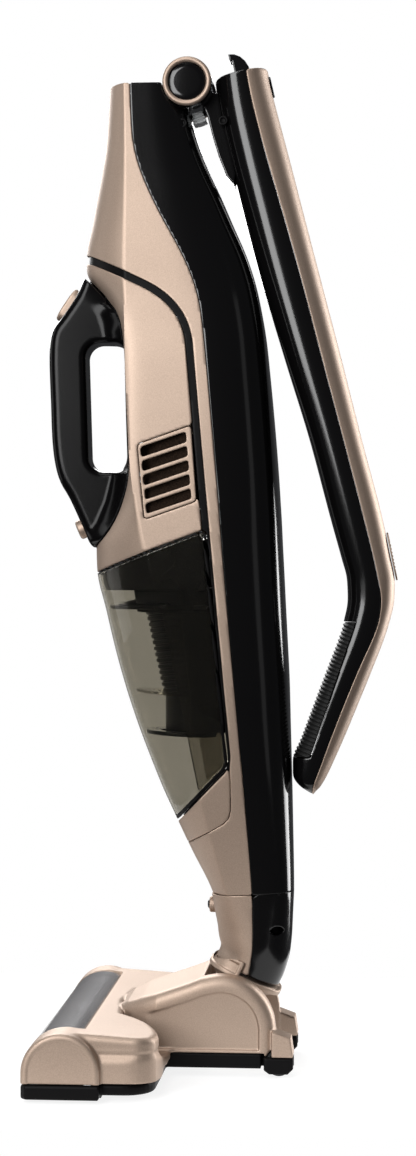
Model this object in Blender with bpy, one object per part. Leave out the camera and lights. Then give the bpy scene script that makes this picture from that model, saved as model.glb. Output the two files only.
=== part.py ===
"""Cordless stick vacuum with a removable hand vacuum, parked upright with its handle folded down.

The vacuum faces -Y, +Z is up and X is across it. The origin is on the floor, under the middle of
its bounding box. Drawing sizes are in millimetres and every mesh is written in metres.
"""
import math

import bmesh
import bpy
from mathutils import Matrix, Vector

# ---- driving dimensions, in millimetres -------------------------------------------------------
MM = 0.001
GAP = 0.35                    # clearance between neighbouring pieces
WALL = 2.4                    # moulded wall thickness
SECTION_POINTS = 16           # points round a moulded body section
SECTION_POWER = 3.0           # superellipse power of the body sections

HEAD_HALF_WIDTH = 125.0
BRUSH_CENTRE = (-90.5, 18.6)  # (y, z) of the brush roll's axis
TUNNEL_CENTRE = (-90.5, 17.6)
TUNNEL_RADIUS = 24.5          # outside of the brush tunnel
WINDOW_HALF_WIDTH = 101.0
BRUSH_CORE_RADIUS = 10.0
BRISTLE_RADIUS = 17.6
MOTOR_CENTRE = (-50.0, 24.0)
BELT_X = -108.0                # middle of the drive belt
COVER_LINE = 11.3             # height where the gold cover meets the black base
TILT_CENTRE = (2.0, 27.0)     # (y, z) of the neck's tilt axis
ARCH_RADIUS = 34.5
ARCH_HALF_WIDTH = 41.0
SLOT_HALF_WIDTH = 26.5
WHEEL_CENTRE = (39.0, 8.5)
WHEEL_RADIUS = 8.5

SWIVEL_CENTRE = Vector((0.0, 16.0, 60.0))
SWIVEL_LEAN = math.radians(25.0)
SWIVEL_AXIS = Vector((0.0, math.sin(SWIVEL_LEAN), math.cos(SWIVEL_LEAN)))
NECK_RADIUS = 22.6
NECK_TOP = 113.2
STICK_BOTTOM = NECK_TOP + 0.6
STICK_TOP = 643.0

HINGE_CENTRE = (-21.4, 643.0)  # (y, z) of the handle's folding axis
HINGE_RING_RADIUS = 16.0
HINGE_EYE_RADIUS = 14.5
HINGE_CLEARANCE = 16.5
HANDLE_FACE_ANGLE = math.radians(12.0)

DOCK_LEAN = 0.0914            # slope of the straight seam between hand vacuum and stick
DOCK_FOOT = (6.3, 205.0)      # (y, z) where that seam ends, above the dust cup's corner
CUP_TOP_SLOPE = 0.3695        # slope of the seam between hand vacuum and dust cup
CUP_TOP_POINT = (-77.5, 325.4)

# Body outline: height, front, back and half width of the stick, hand vacuum and dust cup together.
BODY = (
    (113.5, -6.3, 47.2, 27.0), (121, -9.5, 47.2, 28.0), (135, -17.0, 47.0, 30.2),
    (150, -24.5, 46.7, 32.6), (165, -31.5, 46.4, 35.0), (180, -38.5, 46.1, 37.4),
    (200, -46.7, 45.6, 40.3), (225, -56.2, 44.9, 43.0), (250, -64.4, 44.3, 45.0),
    (275, -71.3, 43.1, 46.0), (300, -77.2, 41.8, 46.5), (325, -83.0, 40.6, 46.5),
    (344, -83.5, 39.6, 46.5), (356, -77.0, 39.1, 46.4), (370, -69.0, 38.2, 46.3),
    (385, -64.0, 37.3, 46.2), (400, -62.5, 36.2, 46.0), (430, -62.8, 33.7, 45.0),
    (460, -63.5, 30.8, 43.5), (475, -64.5, 29.3, 42.2), (487, -67.5, 27.5, 41.0),
    (497, -72.5, 25.6, 40.0), (506, -79.0, 23.9, 39.0), (514, -86.0, 22.0, 38.0),
    (522, -90.3, 19.6, 37.0), (534, -90.0, 15.4, 35.5), (553, -86.2, 6.9, 33.0),
    (570, -83.0, -0.2, 31.0), (586, -80.0, -7.9, 29.0), (605, -77.0, -15.5, 27.0),
    (625, -75.5, -21.2, 25.5), (643, -74.5, -24.5, 24.5),
)

# Seam between the gold front and the black back: height, y.
SPLIT = (
    (48, 17.0), (66, 19.0), (80, 21.4), (113.5, 20.7), (150, 17.6), (487, -11.3), (500, -13.5),
    (513, -17.2), (526, -22.5), (539, -29.0), (552, -36.2), (565, -42.7), (578, -48.6),
    (591, -53.4), (604, -56.4), (617, -57.7), (650, -59.0),
)

# Folded handle: height, inner edge, gold and black seam, outer edge, half width.
HANDLE = (
    (178.5, 58.0, 59.0, 61.5, 14.0), (183, 51.5, 59.8, 65.0, 16.0), (190, 46.5, 62.6, 69.0, 16.8),
    (202, 46.5, 67.0, 74.5, 17.2), (213, 51.0, 71.0, 79.4, 17.3), (240, 61.1, 81.5, 90.6, 17.3),
    (266, 70.9, 92.5, 101.1, 17.3), (280, 76.3, 99.0, 106.5, 17.4), (293, 80.3, 103.5, 110.5, 17.5),
    (306, 82.6, 104.8, 113.3, 17.6), (319, 82.1, 102.6, 113.5, 17.8), (332, 78.8, 99.9, 111.0, 18.0),
    (358, 71.6, 93.5, 105.7, 18.3), (411, 57.5, 79.9, 91.9, 18.8), (463, 41.5, 66.2, 78.8, 19.4),
    (516, 25.7, 52.4, 65.0, 20.0), (556, 14.8, 41.3, 54.6, 20.8), (596, 4.5, 29.7, 44.3, 21.6),
    (622, -1.2, 22.7, 37.4, 22.3), (635, -3.2, 19.7, 34.0, 22.6), (650, -4.6, 16.9, 30.6, 22.8),
    (662, -5.0, 15.5, 29.0, 22.8),
)

# Edge between the black grip and the gold hand vacuum, from the top down: y, z.
GRIP_SEAM = (
    (-96.0, 524.5), (-84.8, 514.8), (-74.4, 506.5), (-66.6, 497.4), (-62.5, 486.5), (-60.2, 461.0),
    (-57.9, 409.0), (-58.2, 387.0), (-62.7, 370.5), (-69.2, 356.3), (-79.0, 344.2), (-96.0, 331.5),
)
# Outer edge of the grip, from the top down: y, z.
GRIP_EDGE = (
    (-90.3, 519.2), (-95.9, 506.5), (-105.2, 492.7), (-111.2, 484.5), (-113.6, 475.5),
    (-114.0, 460.0), (-113.1, 436.0), (-112.2, 411.7), (-110.2, 395.0), (-106.6, 383.0),
    (-100.2, 371.8), (-92.0, 353.9), (-87.4, 343.4), (-84.9, 340.4),
)
GRIP_HALF_WIDTH = 15.0
FINGER_SLOT = (-74.8, 432.2, 24.0, 83.5)  # centre y, centre z, depth and height


# ---- materials ----------------------------------------------------------------------------------
def material(name, colour, metallic, roughness, alpha=1.0):
    mat = bpy.data.materials.new(name)
    mat.use_nodes = True
    shader = mat.node_tree.nodes["Principled BSDF"]
    shader.inputs["Base Color"].default_value = (*colour, 1.0)
    shader.inputs["Metallic"].default_value = metallic
    shader.inputs["Roughness"].default_value = roughness
    shader.inputs["Alpha"].default_value = alpha
    mat.diffuse_color = (*colour, alpha)
    return mat


# ---- mesh helpers -------------------------------------------------------------------------------
def finish_mesh(name, mesh, mat, origin=(0.0, 0.0, 0.0)):
    """Link a mesh drawn in world millimetres as an object whose origin is the given point."""
    start = Vector(origin)
    mesh.transform(Matrix.Scale(MM, 4) @ Matrix.Translation(-start))
    mesh.materials.clear()
    mesh.materials.append(mat)
    mesh.shade_smooth()
    mesh.set_sharp_from_angle(angle=math.radians(35.0))
    obj = bpy.data.objects.new(name, mesh)
    obj.location = start * MM
    bpy.context.collection.objects.link(obj)
    return obj


def to_mesh(bm):
    """Turn a bmesh into a mesh with its faces pointing outwards."""
    bmesh.ops.recalc_face_normals(bm, faces=bm.faces)
    mesh = bpy.data.meshes.new("shape")
    bm.to_mesh(mesh)
    bm.free()
    return mesh


def loft(loops):
    """Closed solid through a list of loops that all have the same number of points."""
    bm = bmesh.new()
    rings = [[bm.verts.new(p) for p in loop] for loop in loops]
    for low, high in zip(rings, rings[1:]):
        for k in range(len(low)):
            n = (k + 1) % len(low)
            bm.faces.new((low[k], low[n], high[n], high[k]))
    bm.faces.new(rings[0])
    bm.faces.new(rings[-1])
    bmesh.ops.triangulate(bm, faces=[f for f in bm.faces if len(f.verts) > 4])
    return to_mesh(bm)


def ring_loft(loops):
    """Closed ring-shaped solid: the loops follow each other round and the last meets the first."""
    bm = bmesh.new()
    rings = [[bm.verts.new(p) for p in loop] for loop in loops]
    for j, low in enumerate(rings):
        high = rings[(j + 1) % len(rings)]
        for k in range(len(low)):
            n = (k + 1) % len(low)
            bm.faces.new((low[k], low[n], high[n], high[k]))
    return to_mesh(bm)


def prism(outline, low, high, holes=(), axis="X"):
    """Extrude a flat outline, with holes, along an axis; outline points are the other two axes."""
    place = {"X": lambda a, b, t: (t, a, b), "Y": lambda a, b, t: (a, t, b),
             "Z": lambda a, b, t: (a, b, t)}[axis]
    bm = bmesh.new()
    edges = []
    for loop in (outline, *holes):
        ring = [bm.verts.new(place(a, b, low)) for a, b in loop]
        edges += [bm.edges.new((ring[k], ring[(k + 1) % len(ring)])) for k in range(len(ring))]
    bmesh.ops.triangle_fill(bm, use_beauty=True, use_dissolve=False, edges=edges)
    step = Vector(place(0.0, 0.0, high - low))
    top = bmesh.ops.extrude_face_region(bm, geom=bm.faces[:])
    bmesh.ops.translate(bm, vec=step, verts=[v for v in top["geom"] if isinstance(v, bmesh.types.BMVert)])
    return to_mesh(bm)


def revolve(profile, centre, axis, segments=24):
    """Closed solid turned about an axis; profile points are (distance along it, radius)."""
    direction = Vector(axis).normalized()
    side = direction.orthogonal().normalized()
    up = direction.cross(side)
    centre = Vector(centre)
    loops = []
    for along, radius in profile:
        loops.append([centre + direction * along
                      + (side * math.cos(a) + up * math.sin(a)) * max(radius, 0.0)
                      for a in (2 * math.pi * k / segments for k in range(segments))])
    return loft(loops)


def tube(centre, axis, low, high, outer, inner, segments=24):
    """Hollow cylinder between two distances along its axis."""
    direction = Vector(axis).normalized()
    side = direction.orthogonal().normalized()
    up = direction.cross(side)
    centre = Vector(centre)
    loops = []
    for along, radius in ((low, outer), (high, outer), (high, inner), (low, inner)):
        loops.append([centre + direction * along + (side * math.cos(a) + up * math.sin(a)) * radius
                      for a in (2 * math.pi * k / segments for k in range(segments))])
    return ring_loft(loops)


def cylinder(centre, axis, low, high, radius, segments=24):
    return revolve(((low, radius), (high, radius)), centre, axis, segments)


def combine(base, operation, *tools):
    """Apply Boolean operations to a mesh, one tool after another, and return the result."""
    for tool in tools:
        target = bpy.data.objects.new("target", base)
        cutter = bpy.data.objects.new("cutter", tool)
        for obj in (target, cutter):
            bpy.context.collection.objects.link(obj)
        modifier = target.modifiers.new("boolean", "BOOLEAN")
        modifier.operation = operation
        modifier.solver = "EXACT"
        modifier.object = cutter
        graph = bpy.context.evaluated_depsgraph_get()
        result = bpy.data.meshes.new_from_object(target.evaluated_get(graph))
        bpy.data.objects.remove(target)
        bpy.data.objects.remove(cutter)
        bpy.data.meshes.remove(base)
        bpy.data.meshes.remove(tool)
        base = result
    bm = bmesh.new()
    bm.from_mesh(base)
    bmesh.ops.dissolve_degenerate(bm, edges=bm.edges, dist=0.002)
    bmesh.ops.triangulate(bm, faces=bm.faces)
    bm.to_mesh(base)
    bm.free()
    return base


def cut(base, *tools):
    return combine(base, "DIFFERENCE", *tools)


def keep(base, *tools):
    return combine(base, "INTERSECT", *tools)


def join(base, *tools):
    return combine(base, "UNION", *tools)


# ---- curves -------------------------------------------------------------------------------------
def curve_value(table, t, column=1):
    """Smooth value of one column of a table at t; the first column rises."""
    last = len(table) - 1
    if t <= table[0][0]:
        return table[0][column]
    if t >= table[last][0]:
        return table[last][column]
    i = max(k for k in range(last) if table[k][0] <= t)

    def chord(k):
        return (table[k + 1][column] - table[k][column]) / (table[k + 1][0] - table[k][0])

    def slope(k):
        if k == 0 or k == last:
            return chord(min(k, last - 1))
        before, after = chord(k - 1), chord(k)
        return 0.0 if before * after <= 0 else 2 * before * after / (before + after)

    width = table[i + 1][0] - table[i][0]
    s = (t - table[i][0]) / width
    return ((1 + 2 * s) * (1 - s) ** 2 * table[i][column] + s * (1 - s) ** 2 * width * slope(i)
            + s * s * (3 - 2 * s) * table[i + 1][column] - s * s * (1 - s) * width * slope(i + 1))


def split_y(z):
    return curve_value(SPLIT, z)


def dock_y(z):
    """Straight seam between the hand vacuum and the stick."""
    return DOCK_FOOT[0] - DOCK_LEAN * (z - DOCK_FOOT[1])


def cup_top_z(y):
    """Slanted seam between the hand vacuum and the dust cup."""
    return CUP_TOP_POINT[1] + CUP_TOP_SLOPE * (y - CUP_TOP_POINT[0])


def bezier(start, control, end, count):
    """Points of a quadratic curve, without its first point."""
    points = []
    for k in range(1, count + 1):
        t = k / count
        points.append(tuple((1 - t) ** 2 * a + 2 * t * (1 - t) * b + t * t * c
                            for a, b, c in zip(start, control, end)))
    return points


def arc(centre, radius, start_deg, end_deg, count):
    """Points of an arc in the (y, z) plane, ends included."""
    points = []
    for k in range(count + 1):
        a = math.radians(start_deg + (end_deg - start_deg) * k / count)
        points.append((centre[0] + radius * math.cos(a), centre[1] + radius * math.sin(a)))
    return points


def offset_path(path, distance):
    """Move an open path sideways, to its left when it is walked from its first point."""
    moved = []
    for k, point in enumerate(path):
        before = path[max(k - 1, 0)]
        after = path[min(k + 1, len(path) - 1)]
        dy, dz = after[0] - before[0], after[1] - before[1]
        size = math.hypot(dy, dz)
        moved.append((point[0] - dz / size * distance, point[1] + dy / size * distance))
    return moved


def dock_path():
    """Seam round the back of the docked hand vacuum and dust cup, from the top front down."""
    bend = (dock_y(470.0), 470.0)
    path = [(-99.0, 535.4), (-74.0, 523.2), (-48.5, 510.8)]
    path += bezier(path[-1], (-20.4, 497.1), bend, 6)
    path += [(dock_y(330.0), 330.0), DOCK_FOOT]
    path += bezier(DOCK_FOOT, (7.4, 197.5), (1.5, 192.6), 3)
    path += [(-29.5, 160.5), (-50.0, 139.0)]
    return path


# ---- moulded bodies -----------------------------------------------------------------------------
def superellipse(centre_y, half_depth, half_width, power, count=SECTION_POINTS):
    points = []
    for k in range(count):
        a = 2 * math.pi * k / count
        c, s = math.cos(a), math.sin(a)
        points.append((half_width * math.copysign(abs(c) ** (2 / power), c),
                       centre_y + half_depth * math.copysign(abs(s) ** (2 / power), s)))
    return points


def body_section(z, inset=0.0):
    front, back, half = (curve_value(BODY, z, column) for column in (1, 2, 3))
    loop = superellipse((front + back) / 2, (back - front) / 2 - inset, half - inset, SECTION_POWER)
    return [(x, y, z) for x, y in loop]


def body_loft(heights, inset=0.0):
    return loft([body_section(z, inset) for z in heights])


def body_half_width(y, z):
    """Half width of the body's surface at a point of its side view."""
    front, back, half = (curve_value(BODY, z, column) for column in (1, 2, 3))
    s = min(abs(y - (front + back) / 2) / ((back - front) / 2), 1.0)
    return half * (1 - s ** SECTION_POWER) ** (1 / SECTION_POWER)


def handle_section(z, inset=0.0):
    inner, outer, half = (curve_value(HANDLE, z, column) for column in (1, 3, 4))
    loop = superellipse((inner + outer) / 2, (outer - inner) / 2 - inset, half - inset, 2.7, 16)
    return [(x, y, z) for x, y in loop]


def handle_loft(heights, inset=0.0):
    return loft([handle_section(z, inset) for z in heights])


# ---- floor head ---------------------------------------------------------------------------------
def sides():
    """Name and sign of the two sides; left is +X."""
    return (("left", 1), ("right", -1))


def mirrored(mesh):
    """Copy of a mesh mirrored across X = 0."""
    copy = mesh.copy()
    copy.transform(Matrix.Scale(-1, 4, (1, 0, 0)))
    copy.flip_normals()
    return copy


def arch_outline(inset, floor):
    """Side view of the head's raised middle, from its nose to the arch over the tilt axis."""
    top = [(-62.5 + inset, 40.0 - inset), (-55.0, 46.0 - inset), (-41.5, 51.0 - inset),
           (-21.5, 57.5 - inset)]
    rear = arc((TILT_CENTRE[0], 29.2), ARCH_RADIUS - inset, 98, 0, 8)
    return [(-62.5 + inset, floor), *top, *rear, (rear[-1][0], floor)]


def build_head_cover(gold):
    deck = [(-92.0, COVER_LINE), (-92.0, 38.6), (-37.0, 38.6), (-33.0, 35.0), (-33.0, COVER_LINE)]
    corner = arc((99.5, -52.0), 19.0, 0, 90, 5)
    plan = [(118.5, -95.0), *corner, *[(-x, y) for x, y in reversed(corner)], (-118.5, -95.0)]
    cover = keep(prism(deck, -119, 119), prism(plan, 0, 60, axis="Z"))
    tunnel = arc(TUNNEL_CENTRE, TUNNEL_RADIUS, 195, -15, 16)
    rings = []
    for x, inset in ((41.0, 5.0), (39.6, 1.8), (35.0, 0.0), (-35.0, 0.0), (-39.6, 1.8), (-41.0, 5.0)):
        rings.append([(x, y, z) for y, z in arch_outline(inset, 14.5)])
    cover = join(cover, prism(tunnel, -HEAD_HALF_WIDTH, HEAD_HALF_WIDTH), loft(rings))
    foot = [(30.0, 12.9), (30.0, 29.0), (35.5, 28.7), (46.9, 25.2), (48.4, 15.0), (48.4, 12.9)]
    for _, side in sides():
        cover = join(cover, prism(foot, min(27 * side, 44 * side), max(27 * side, 44 * side)))
    # hollows: brush tunnel, space under the deck, hump, arch side pods and the neck's slot
    bore = arc(TUNNEL_CENTRE, TUNNEL_RADIUS - WALL, 0, 180, 12) + [(-112.6, 5.0), (-68.4, 5.0)]
    under = [(-115, -80), (115, -80), (115, -48), (110.5, -41.5), (98, -36), (-98, -36), (-110.5, -41.5),
             (-115, -48)]
    inner_hump = [(-59, 5.0), (-59, 39.0), (-41.5, 48.0), (-24.0, 54.0), (-24.0, 5.0)]
    pod = [(y, z) for y, z in arch_outline(WALL, 5.0) if y > -26]
    slot = [(-20.0, 0.0), (-20.0, 90.0), (70.0, 90.0), (70.0, 0.0)]
    cover = cut(cover, prism(bore, -122, 122), prism(under, 0, 36.2, axis="Z"),
                prism(inner_hump, -38, 38), prism(slot, -SLOT_HALF_WIDTH, SLOT_HALF_WIDTH))
    for _, side in sides():
        cover = cut(cover, prism([(-24.0, 5.0), *pod], min(29 * side, 38 * side), max(29 * side, 38 * side)),
                    cylinder((36 * side, *WHEEL_CENTRE), (1, 0, 0), -4.3, 4.3, WHEEL_RADIUS + 0.8))
    sector = arc(TUNNEL_CENTRE, 27.5, 62, 160, 5) + arc(TUNNEL_CENTRE, 20.0, 160, 62, 1)
    cover = cut(cover, prism(sector, -WINDOW_HALF_WIDTH - GAP, WINDOW_HALF_WIDTH + GAP),
                cylinder((0, *TILT_CENTRE), (1, 0, 0), -34, 34, 4.3))
    finish_mesh("head_cover", cover, gold)


def build_window(smoke):
    band = (arc(TUNNEL_CENTRE, TUNNEL_RADIUS - 0.2, 63, 159, 12)
            + arc(TUNNEL_CENTRE, TUNNEL_RADIUS - 2.2, 159, 63, 10))
    finish_mesh("brush_window", prism(band, -WINDOW_HALF_WIDTH, WINDOW_HALF_WIDTH), smoke)


def build_base(black):
    corner = arc((99.0, -52.5), 18.5, 0, 90, 5)
    plan = [(HEAD_HALF_WIDTH - 1.5, -115.0), (HEAD_HALF_WIDTH, -113.0), (HEAD_HALF_WIDTH, -66.5),
            (117.5, -66.5), *corner]
    plan += [(-x, y) for x, y in reversed(plan)]
    base = prism(plan, 3.4, COVER_LINE - GAP, axis="Z")
    bumper = [(HEAD_HALF_WIDTH - 1.5, -115.0), (HEAD_HALF_WIDTH, -113.0), (HEAD_HALF_WIDTH, -66.5)]
    bumper += [(-x, y) for x, y in reversed(bumper)]
    base = join(base, prism(bumper, 1.7, 9.0, axis="Z"),
                prism([(-40.5, -38.0), (40.5, -38.0), (40.5, 36.2), (-40.5, 36.2)], 5.0, 10.5, axis="Z"),
                prism([(-40.5, -32.0), (40.5, -32.0), (40.5, 29.6), (-40.5, 29.6)], 5.0, 14.2, axis="Z"))
    for _, side in sides():
        low, high = min(27 * side, 44 * side), max(27 * side, 44 * side)
        base = join(base, prism([(29.5, 2.6), (29.5, 12.5), (48.4, 12.5), (48.4, 4.0), (46.5, 2.0),
                                 (31.0, 2.0)], low, high))
    mouth = [(-121.5, -109.2), (121.5, -109.2), (121.5, -72.0), (-121.5, -72.0)]
    slot = [(-SLOT_HALF_WIDTH, -12.0), (SLOT_HALF_WIDTH, -12.0), (SLOT_HALF_WIDTH, 60.0),
            (-SLOT_HALF_WIDTH, 60.0)]
    base = cut(base, prism(mouth, -5, 30, axis="Z"), prism(slot, -5, 30, axis="Z"))
    for _, side in sides():
        well = [(27.6, -5.0), (27.6, 30.0), (60.0, 30.0), (60.0, -5.0)]
        base = cut(base, prism(well, min(31.7 * side, 40.3 * side), max(31.7 * side, 40.3 * side)),
                   cylinder((36 * side, *WHEEL_CENTRE), (1, 0, 0), -7.5, 7.5, 1.8, 12))
    finish_mesh("head_base", base, black)


def build_brush(black, bristle, steel):
    centre = (0.0, *BRUSH_CENTRE)
    profile = ((-119.4, 4.0), (-113.6, 4.0), (-113.6, BRUSH_CORE_RADIUS), (113.6, BRUSH_CORE_RADIUS),
               (113.6, 4.0), (119.4, 4.0))
    finish_mesh("brush_core", revolve(profile, centre, (1, 0, 0)), black, centre)
    steps = 20
    for index, name in enumerate(("bristle_strip_a", "bristle_strip_b")):
        loops = []
        for k in range(steps + 1):
            x = -100.0 + 200.0 * k / steps
            turn = math.pi * index + math.radians(110.0) * abs(2 * k / steps - 1)
            along = Vector((0, math.cos(turn), math.sin(turn)))
            across = Vector((0, -math.sin(turn), math.cos(turn)))
            middle = Vector((x, *BRUSH_CENTRE))
            low, high = BRUSH_CORE_RADIUS + 0.5, BRISTLE_RADIUS
            loops.append([middle + along * low - across * 1.2, middle + along * low + across * 1.2,
                          middle + along * high + across * 1.6, middle + along * high - across * 1.6])
        finish_mesh(name, loft(loops), bristle, centre)
    for name, side in sides():
        holder = tube((117.0 * side, *BRUSH_CENTRE), (1, 0, 0), -2.4, 2.4, 16.4, 4.4)
        finish_mesh("brush_end_" + name, holder, black)
    motor = (0.0, *MOTOR_CENTRE)
    finish_mesh("brush_motor", revolve(((-94, 9), (-92, 11), (-38, 11), (-35, 8)), motor, (1, 0, 0)), steel)
    pulley = revolve(((-110.6, 5.0), (-105.4, 5.0), (-105.4, 2.2), (-94.4, 2.2)), motor, (1, 0, 0), 18)
    finish_mesh("motor_pulley", pulley, steel, motor)
    build_belt(black)


def belt_outline(brush_radius, motor_radius):
    """Loop round the two pulleys."""
    dy, dz = MOTOR_CENTRE[0] - BRUSH_CENTRE[0], MOTOR_CENTRE[1] - BRUSH_CENTRE[1]
    lean = math.degrees(math.atan2(dz, dy))
    wrap = math.degrees(math.acos((brush_radius - motor_radius) / math.hypot(dy, dz)))
    return (arc(BRUSH_CENTRE, brush_radius, lean + wrap, lean + 360 - wrap, 12)
            + arc(MOTOR_CENTRE, motor_radius, lean - wrap, lean + wrap, 8))


def build_belt(black):
    inner = BRUSH_CORE_RADIUS + 0.5, 5.0 + 0.5
    belt = prism(belt_outline(inner[0] + 1.2, inner[1] + 1.2), BELT_X - 2, BELT_X + 2,
                 [belt_outline(*inner)])
    finish_mesh("drive_belt", belt, black)


def build_wheels(black, steel, felt):
    for name, side in sides():
        centre = (36.0 * side, *WHEEL_CENTRE)
        wheel = tube(centre, (1, 0, 0), -3.6, 3.6, WHEEL_RADIUS, 1.9, 20)
        finish_mesh("rear_wheel_" + name, wheel, black, centre)
        finish_mesh("wheel_pin_" + name, cylinder(centre, (1, 0, 0), -7.4, 7.4, 1.5, 12), steel)
    strip = [(-71.2, 0.0), (-67.2, 0.0), (-67.2, 1.35), (-71.2, 1.35)]
    finish_mesh("felt_strip", prism(strip, -108, 108), felt)


# ---- neck ---------------------------------------------------------------------------------------
def swivel_point(across, along):
    """(y, z) of a point given from the swivel centre, across and along the swivel's axis."""
    return (SWIVEL_CENTRE.y + across * math.cos(SWIVEL_LEAN) + along * math.sin(SWIVEL_LEAN),
            SWIVEL_CENTRE.z - across * math.sin(SWIVEL_LEAN) + along * math.cos(SWIVEL_LEAN))


def build_yoke(gold, steel):
    collar = revolve(((-10, 14), (-3, 25.2), (9, 25.2), (9, 23.4), (0, 23.4)), SWIVEL_CENTRE,
                     SWIVEL_AXIS, 24)
    rear = [swivel_point(a, b) for a, b in ((-4, 0.4), (40, 0.4), (40, 20), (-4, 20))]
    collar = cut(collar, prism(rear, -30, 30))
    arm = [(-11.0, 33.0), swivel_point(-18, -4), swivel_point(15, -4), (15.0, 22.0), (2.0, 14.5),
           (-10.0, 20.0)]
    yoke = join(collar, prism(arm, -15, 15), cylinder((0, *TILT_CENTRE), (1, 0, 0), -24, 24, 13.5))
    yoke = cut(yoke, cylinder((0, *TILT_CENTRE), (1, 0, 0), -30, 30, 4.3))
    finish_mesh("tilt_yoke", yoke, gold, (0, *TILT_CENTRE))
    finish_mesh("tilt_pin", cylinder((0, *TILT_CENTRE), (1, 0, 0), -33, 33, 4.0), steel)


# Neck sections from the swivel up: centre y and z, tilt in degrees, half depth, half width, power.
NECK = (
    (16.2, 60.4, 25, 22.4, 22.4, 2.0), (20.0, 68.8, 25, 22.7, 22.7, 2.0),
    (21.2, 79.0, 14, 24.2, 23.8, 2.1), (21.6, 89.0, 6, 24.6, 24.4, 2.3),
    (21.0, 100.0, 2, 25.6, 25.4, 2.6), (20.3, NECK_TOP, 0, 26.9, 27.0, 3.0),
)


def neck_loft(inset, overrun):
    loops = []
    for k, (y, z, tilt, depth, width, power) in enumerate(NECK):
        shift = -overrun if k == 0 else overrun if k == len(NECK) - 1 else 0.0
        along = Vector((0, math.sin(math.radians(tilt)), math.cos(math.radians(tilt))))
        across = Vector((0, along.z, -along.y))
        middle = Vector((0, y, z)) + along * shift
        loops.append([middle + Vector((a, 0, 0)) + across * b
                      for a, b in superellipse(0, depth - inset, width - inset, power)])
    return loft(loops)


def build_neck(gold, black):
    front = [(split_y(z) - 0.2, z) for z in (45, 60, 70, 80, 95, 120)] + [(-60, 120), (-60, 45)]
    rear = [(split_y(z) + 0.2, z) for z in (45, 60, 70, 80, 95, 120)] + [(80, 120), (80, 45)]
    button = (0.0, -3.4, 104.6)
    bore = cylinder(button, (0, -1, 0), -9, 12, 5.8)
    cover = cut(keep(neck_loft(0, 0), prism(front, -60, 60)), neck_loft(WALL, 5), bore)
    finish_mesh("neck_front_cover", cover, gold)
    cover = cut(keep(neck_loft(0, 0), prism(rear, -60, 60)), neck_loft(WALL, 5))
    finish_mesh("neck_rear_cover", cover, black)
    press = revolve(((-4.0, 5.3), (4.6, 5.3), (6.0, 4.0), (6.0, 3.2)), button, (0, -1, 0), 20)
    finish_mesh("neck_button", press, gold, button)
    spigot = []
    for z in (88.0, 140.0, 145.0):
        inset = 2.0 if z > 142 else 0.0
        loop = superellipse(27.0 - 0.087 * (z - 88), 13.5 - inset, 15 - inset, 4, 20)
        spigot.append([(x, y, z) for x, y in loop])
    finish_mesh("neck_spigot", loft(spigot), black)


# ---- stick --------------------------------------------------------------------------------------
STICK_ROWS = (STICK_BOTTOM, 150, 190, 250, 325, 420, 487, 515, 542, 566, 590, 616, STICK_TOP)
SPLIT_ROWS = (100, 150, 487, 500, 513, 530, 550, 570, 585, 597, 612, 650)
SEAM_TURN = ((7.4, 197.5), (8.0, 185.0), (7.9, 170.0), (6.5, 164.6), (2.9, 160.8), (-48.0, 131.4))
DUCT_START = Vector((0.0, -13.2, 176.0))
DUCT_AXIS = Vector((0.0, 0.729, -0.685))


def hinge_circle():
    return cylinder((0, *HINGE_CENTRE), (1, 0, 0), -40, 40, HINGE_CLEARANCE, 32)


def build_stick_shells(gold, black):
    inner_rows = (105, *STICK_ROWS[1:-1], 655)
    rear = [(split_y(z) + 0.2, z) for z in SPLIT_ROWS] + [(90, 650), (90, 100)]
    shell = keep(body_loft(STICK_ROWS), prism(rear, -60, 60))
    finish_mesh("stick_rear_shell", cut(shell, hinge_circle(), body_loft(inner_rows, WALL)), black)
    dock = offset_path(dock_path(), 1.0)[:11]
    front = [*dock, *SEAM_TURN, (-70, 118.8), (-70, 100)]
    front += [(split_y(z) - 0.2, z) for z in SPLIT_ROWS] + [(-120, 650), (-120, 546)]
    shell = keep(body_loft(STICK_ROWS), prism(front, -60, 60))
    finish_mesh("stick_front_shell", cut(shell, hinge_circle(), body_loft(inner_rows, WALL)), gold)


def build_dock(gold, black):
    lower = dock_path()[11:]
    edge = offset_path(lower, 0.9)
    seam = [(y - 0.4, z + 0.25) for y, z in reversed(SEAM_TURN)]
    rows = (126, 135, 150, 165, 180, 200, 212)
    solid = keep(body_loft(rows), prism([*edge, *seam], -60, 60))
    hollow = [*offset_path(lower, 0.9 + WALL)[1:], (-70, 100), (40, 100), (40, 190)]
    solid = cut(solid, keep(body_loft((120, *rows[1:-1], 215), WALL), prism(hollow, -60, 60)),
                cylinder(DUCT_START, DUCT_AXIS, -8, 12, 12.5))
    finish_mesh("dock_cover", solid, gold)
    finish_mesh("suction_duct", tube(DUCT_START, DUCT_AXIS, 1.2, 29.0, 12.0, 10.0), black)
    back = dock_path()[2:11]
    liner = offset_path(back, 1.6) + list(reversed(offset_path(back, 3.6)))
    finish_mesh("dock_liner", prism(liner, -32, 32), black)


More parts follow.
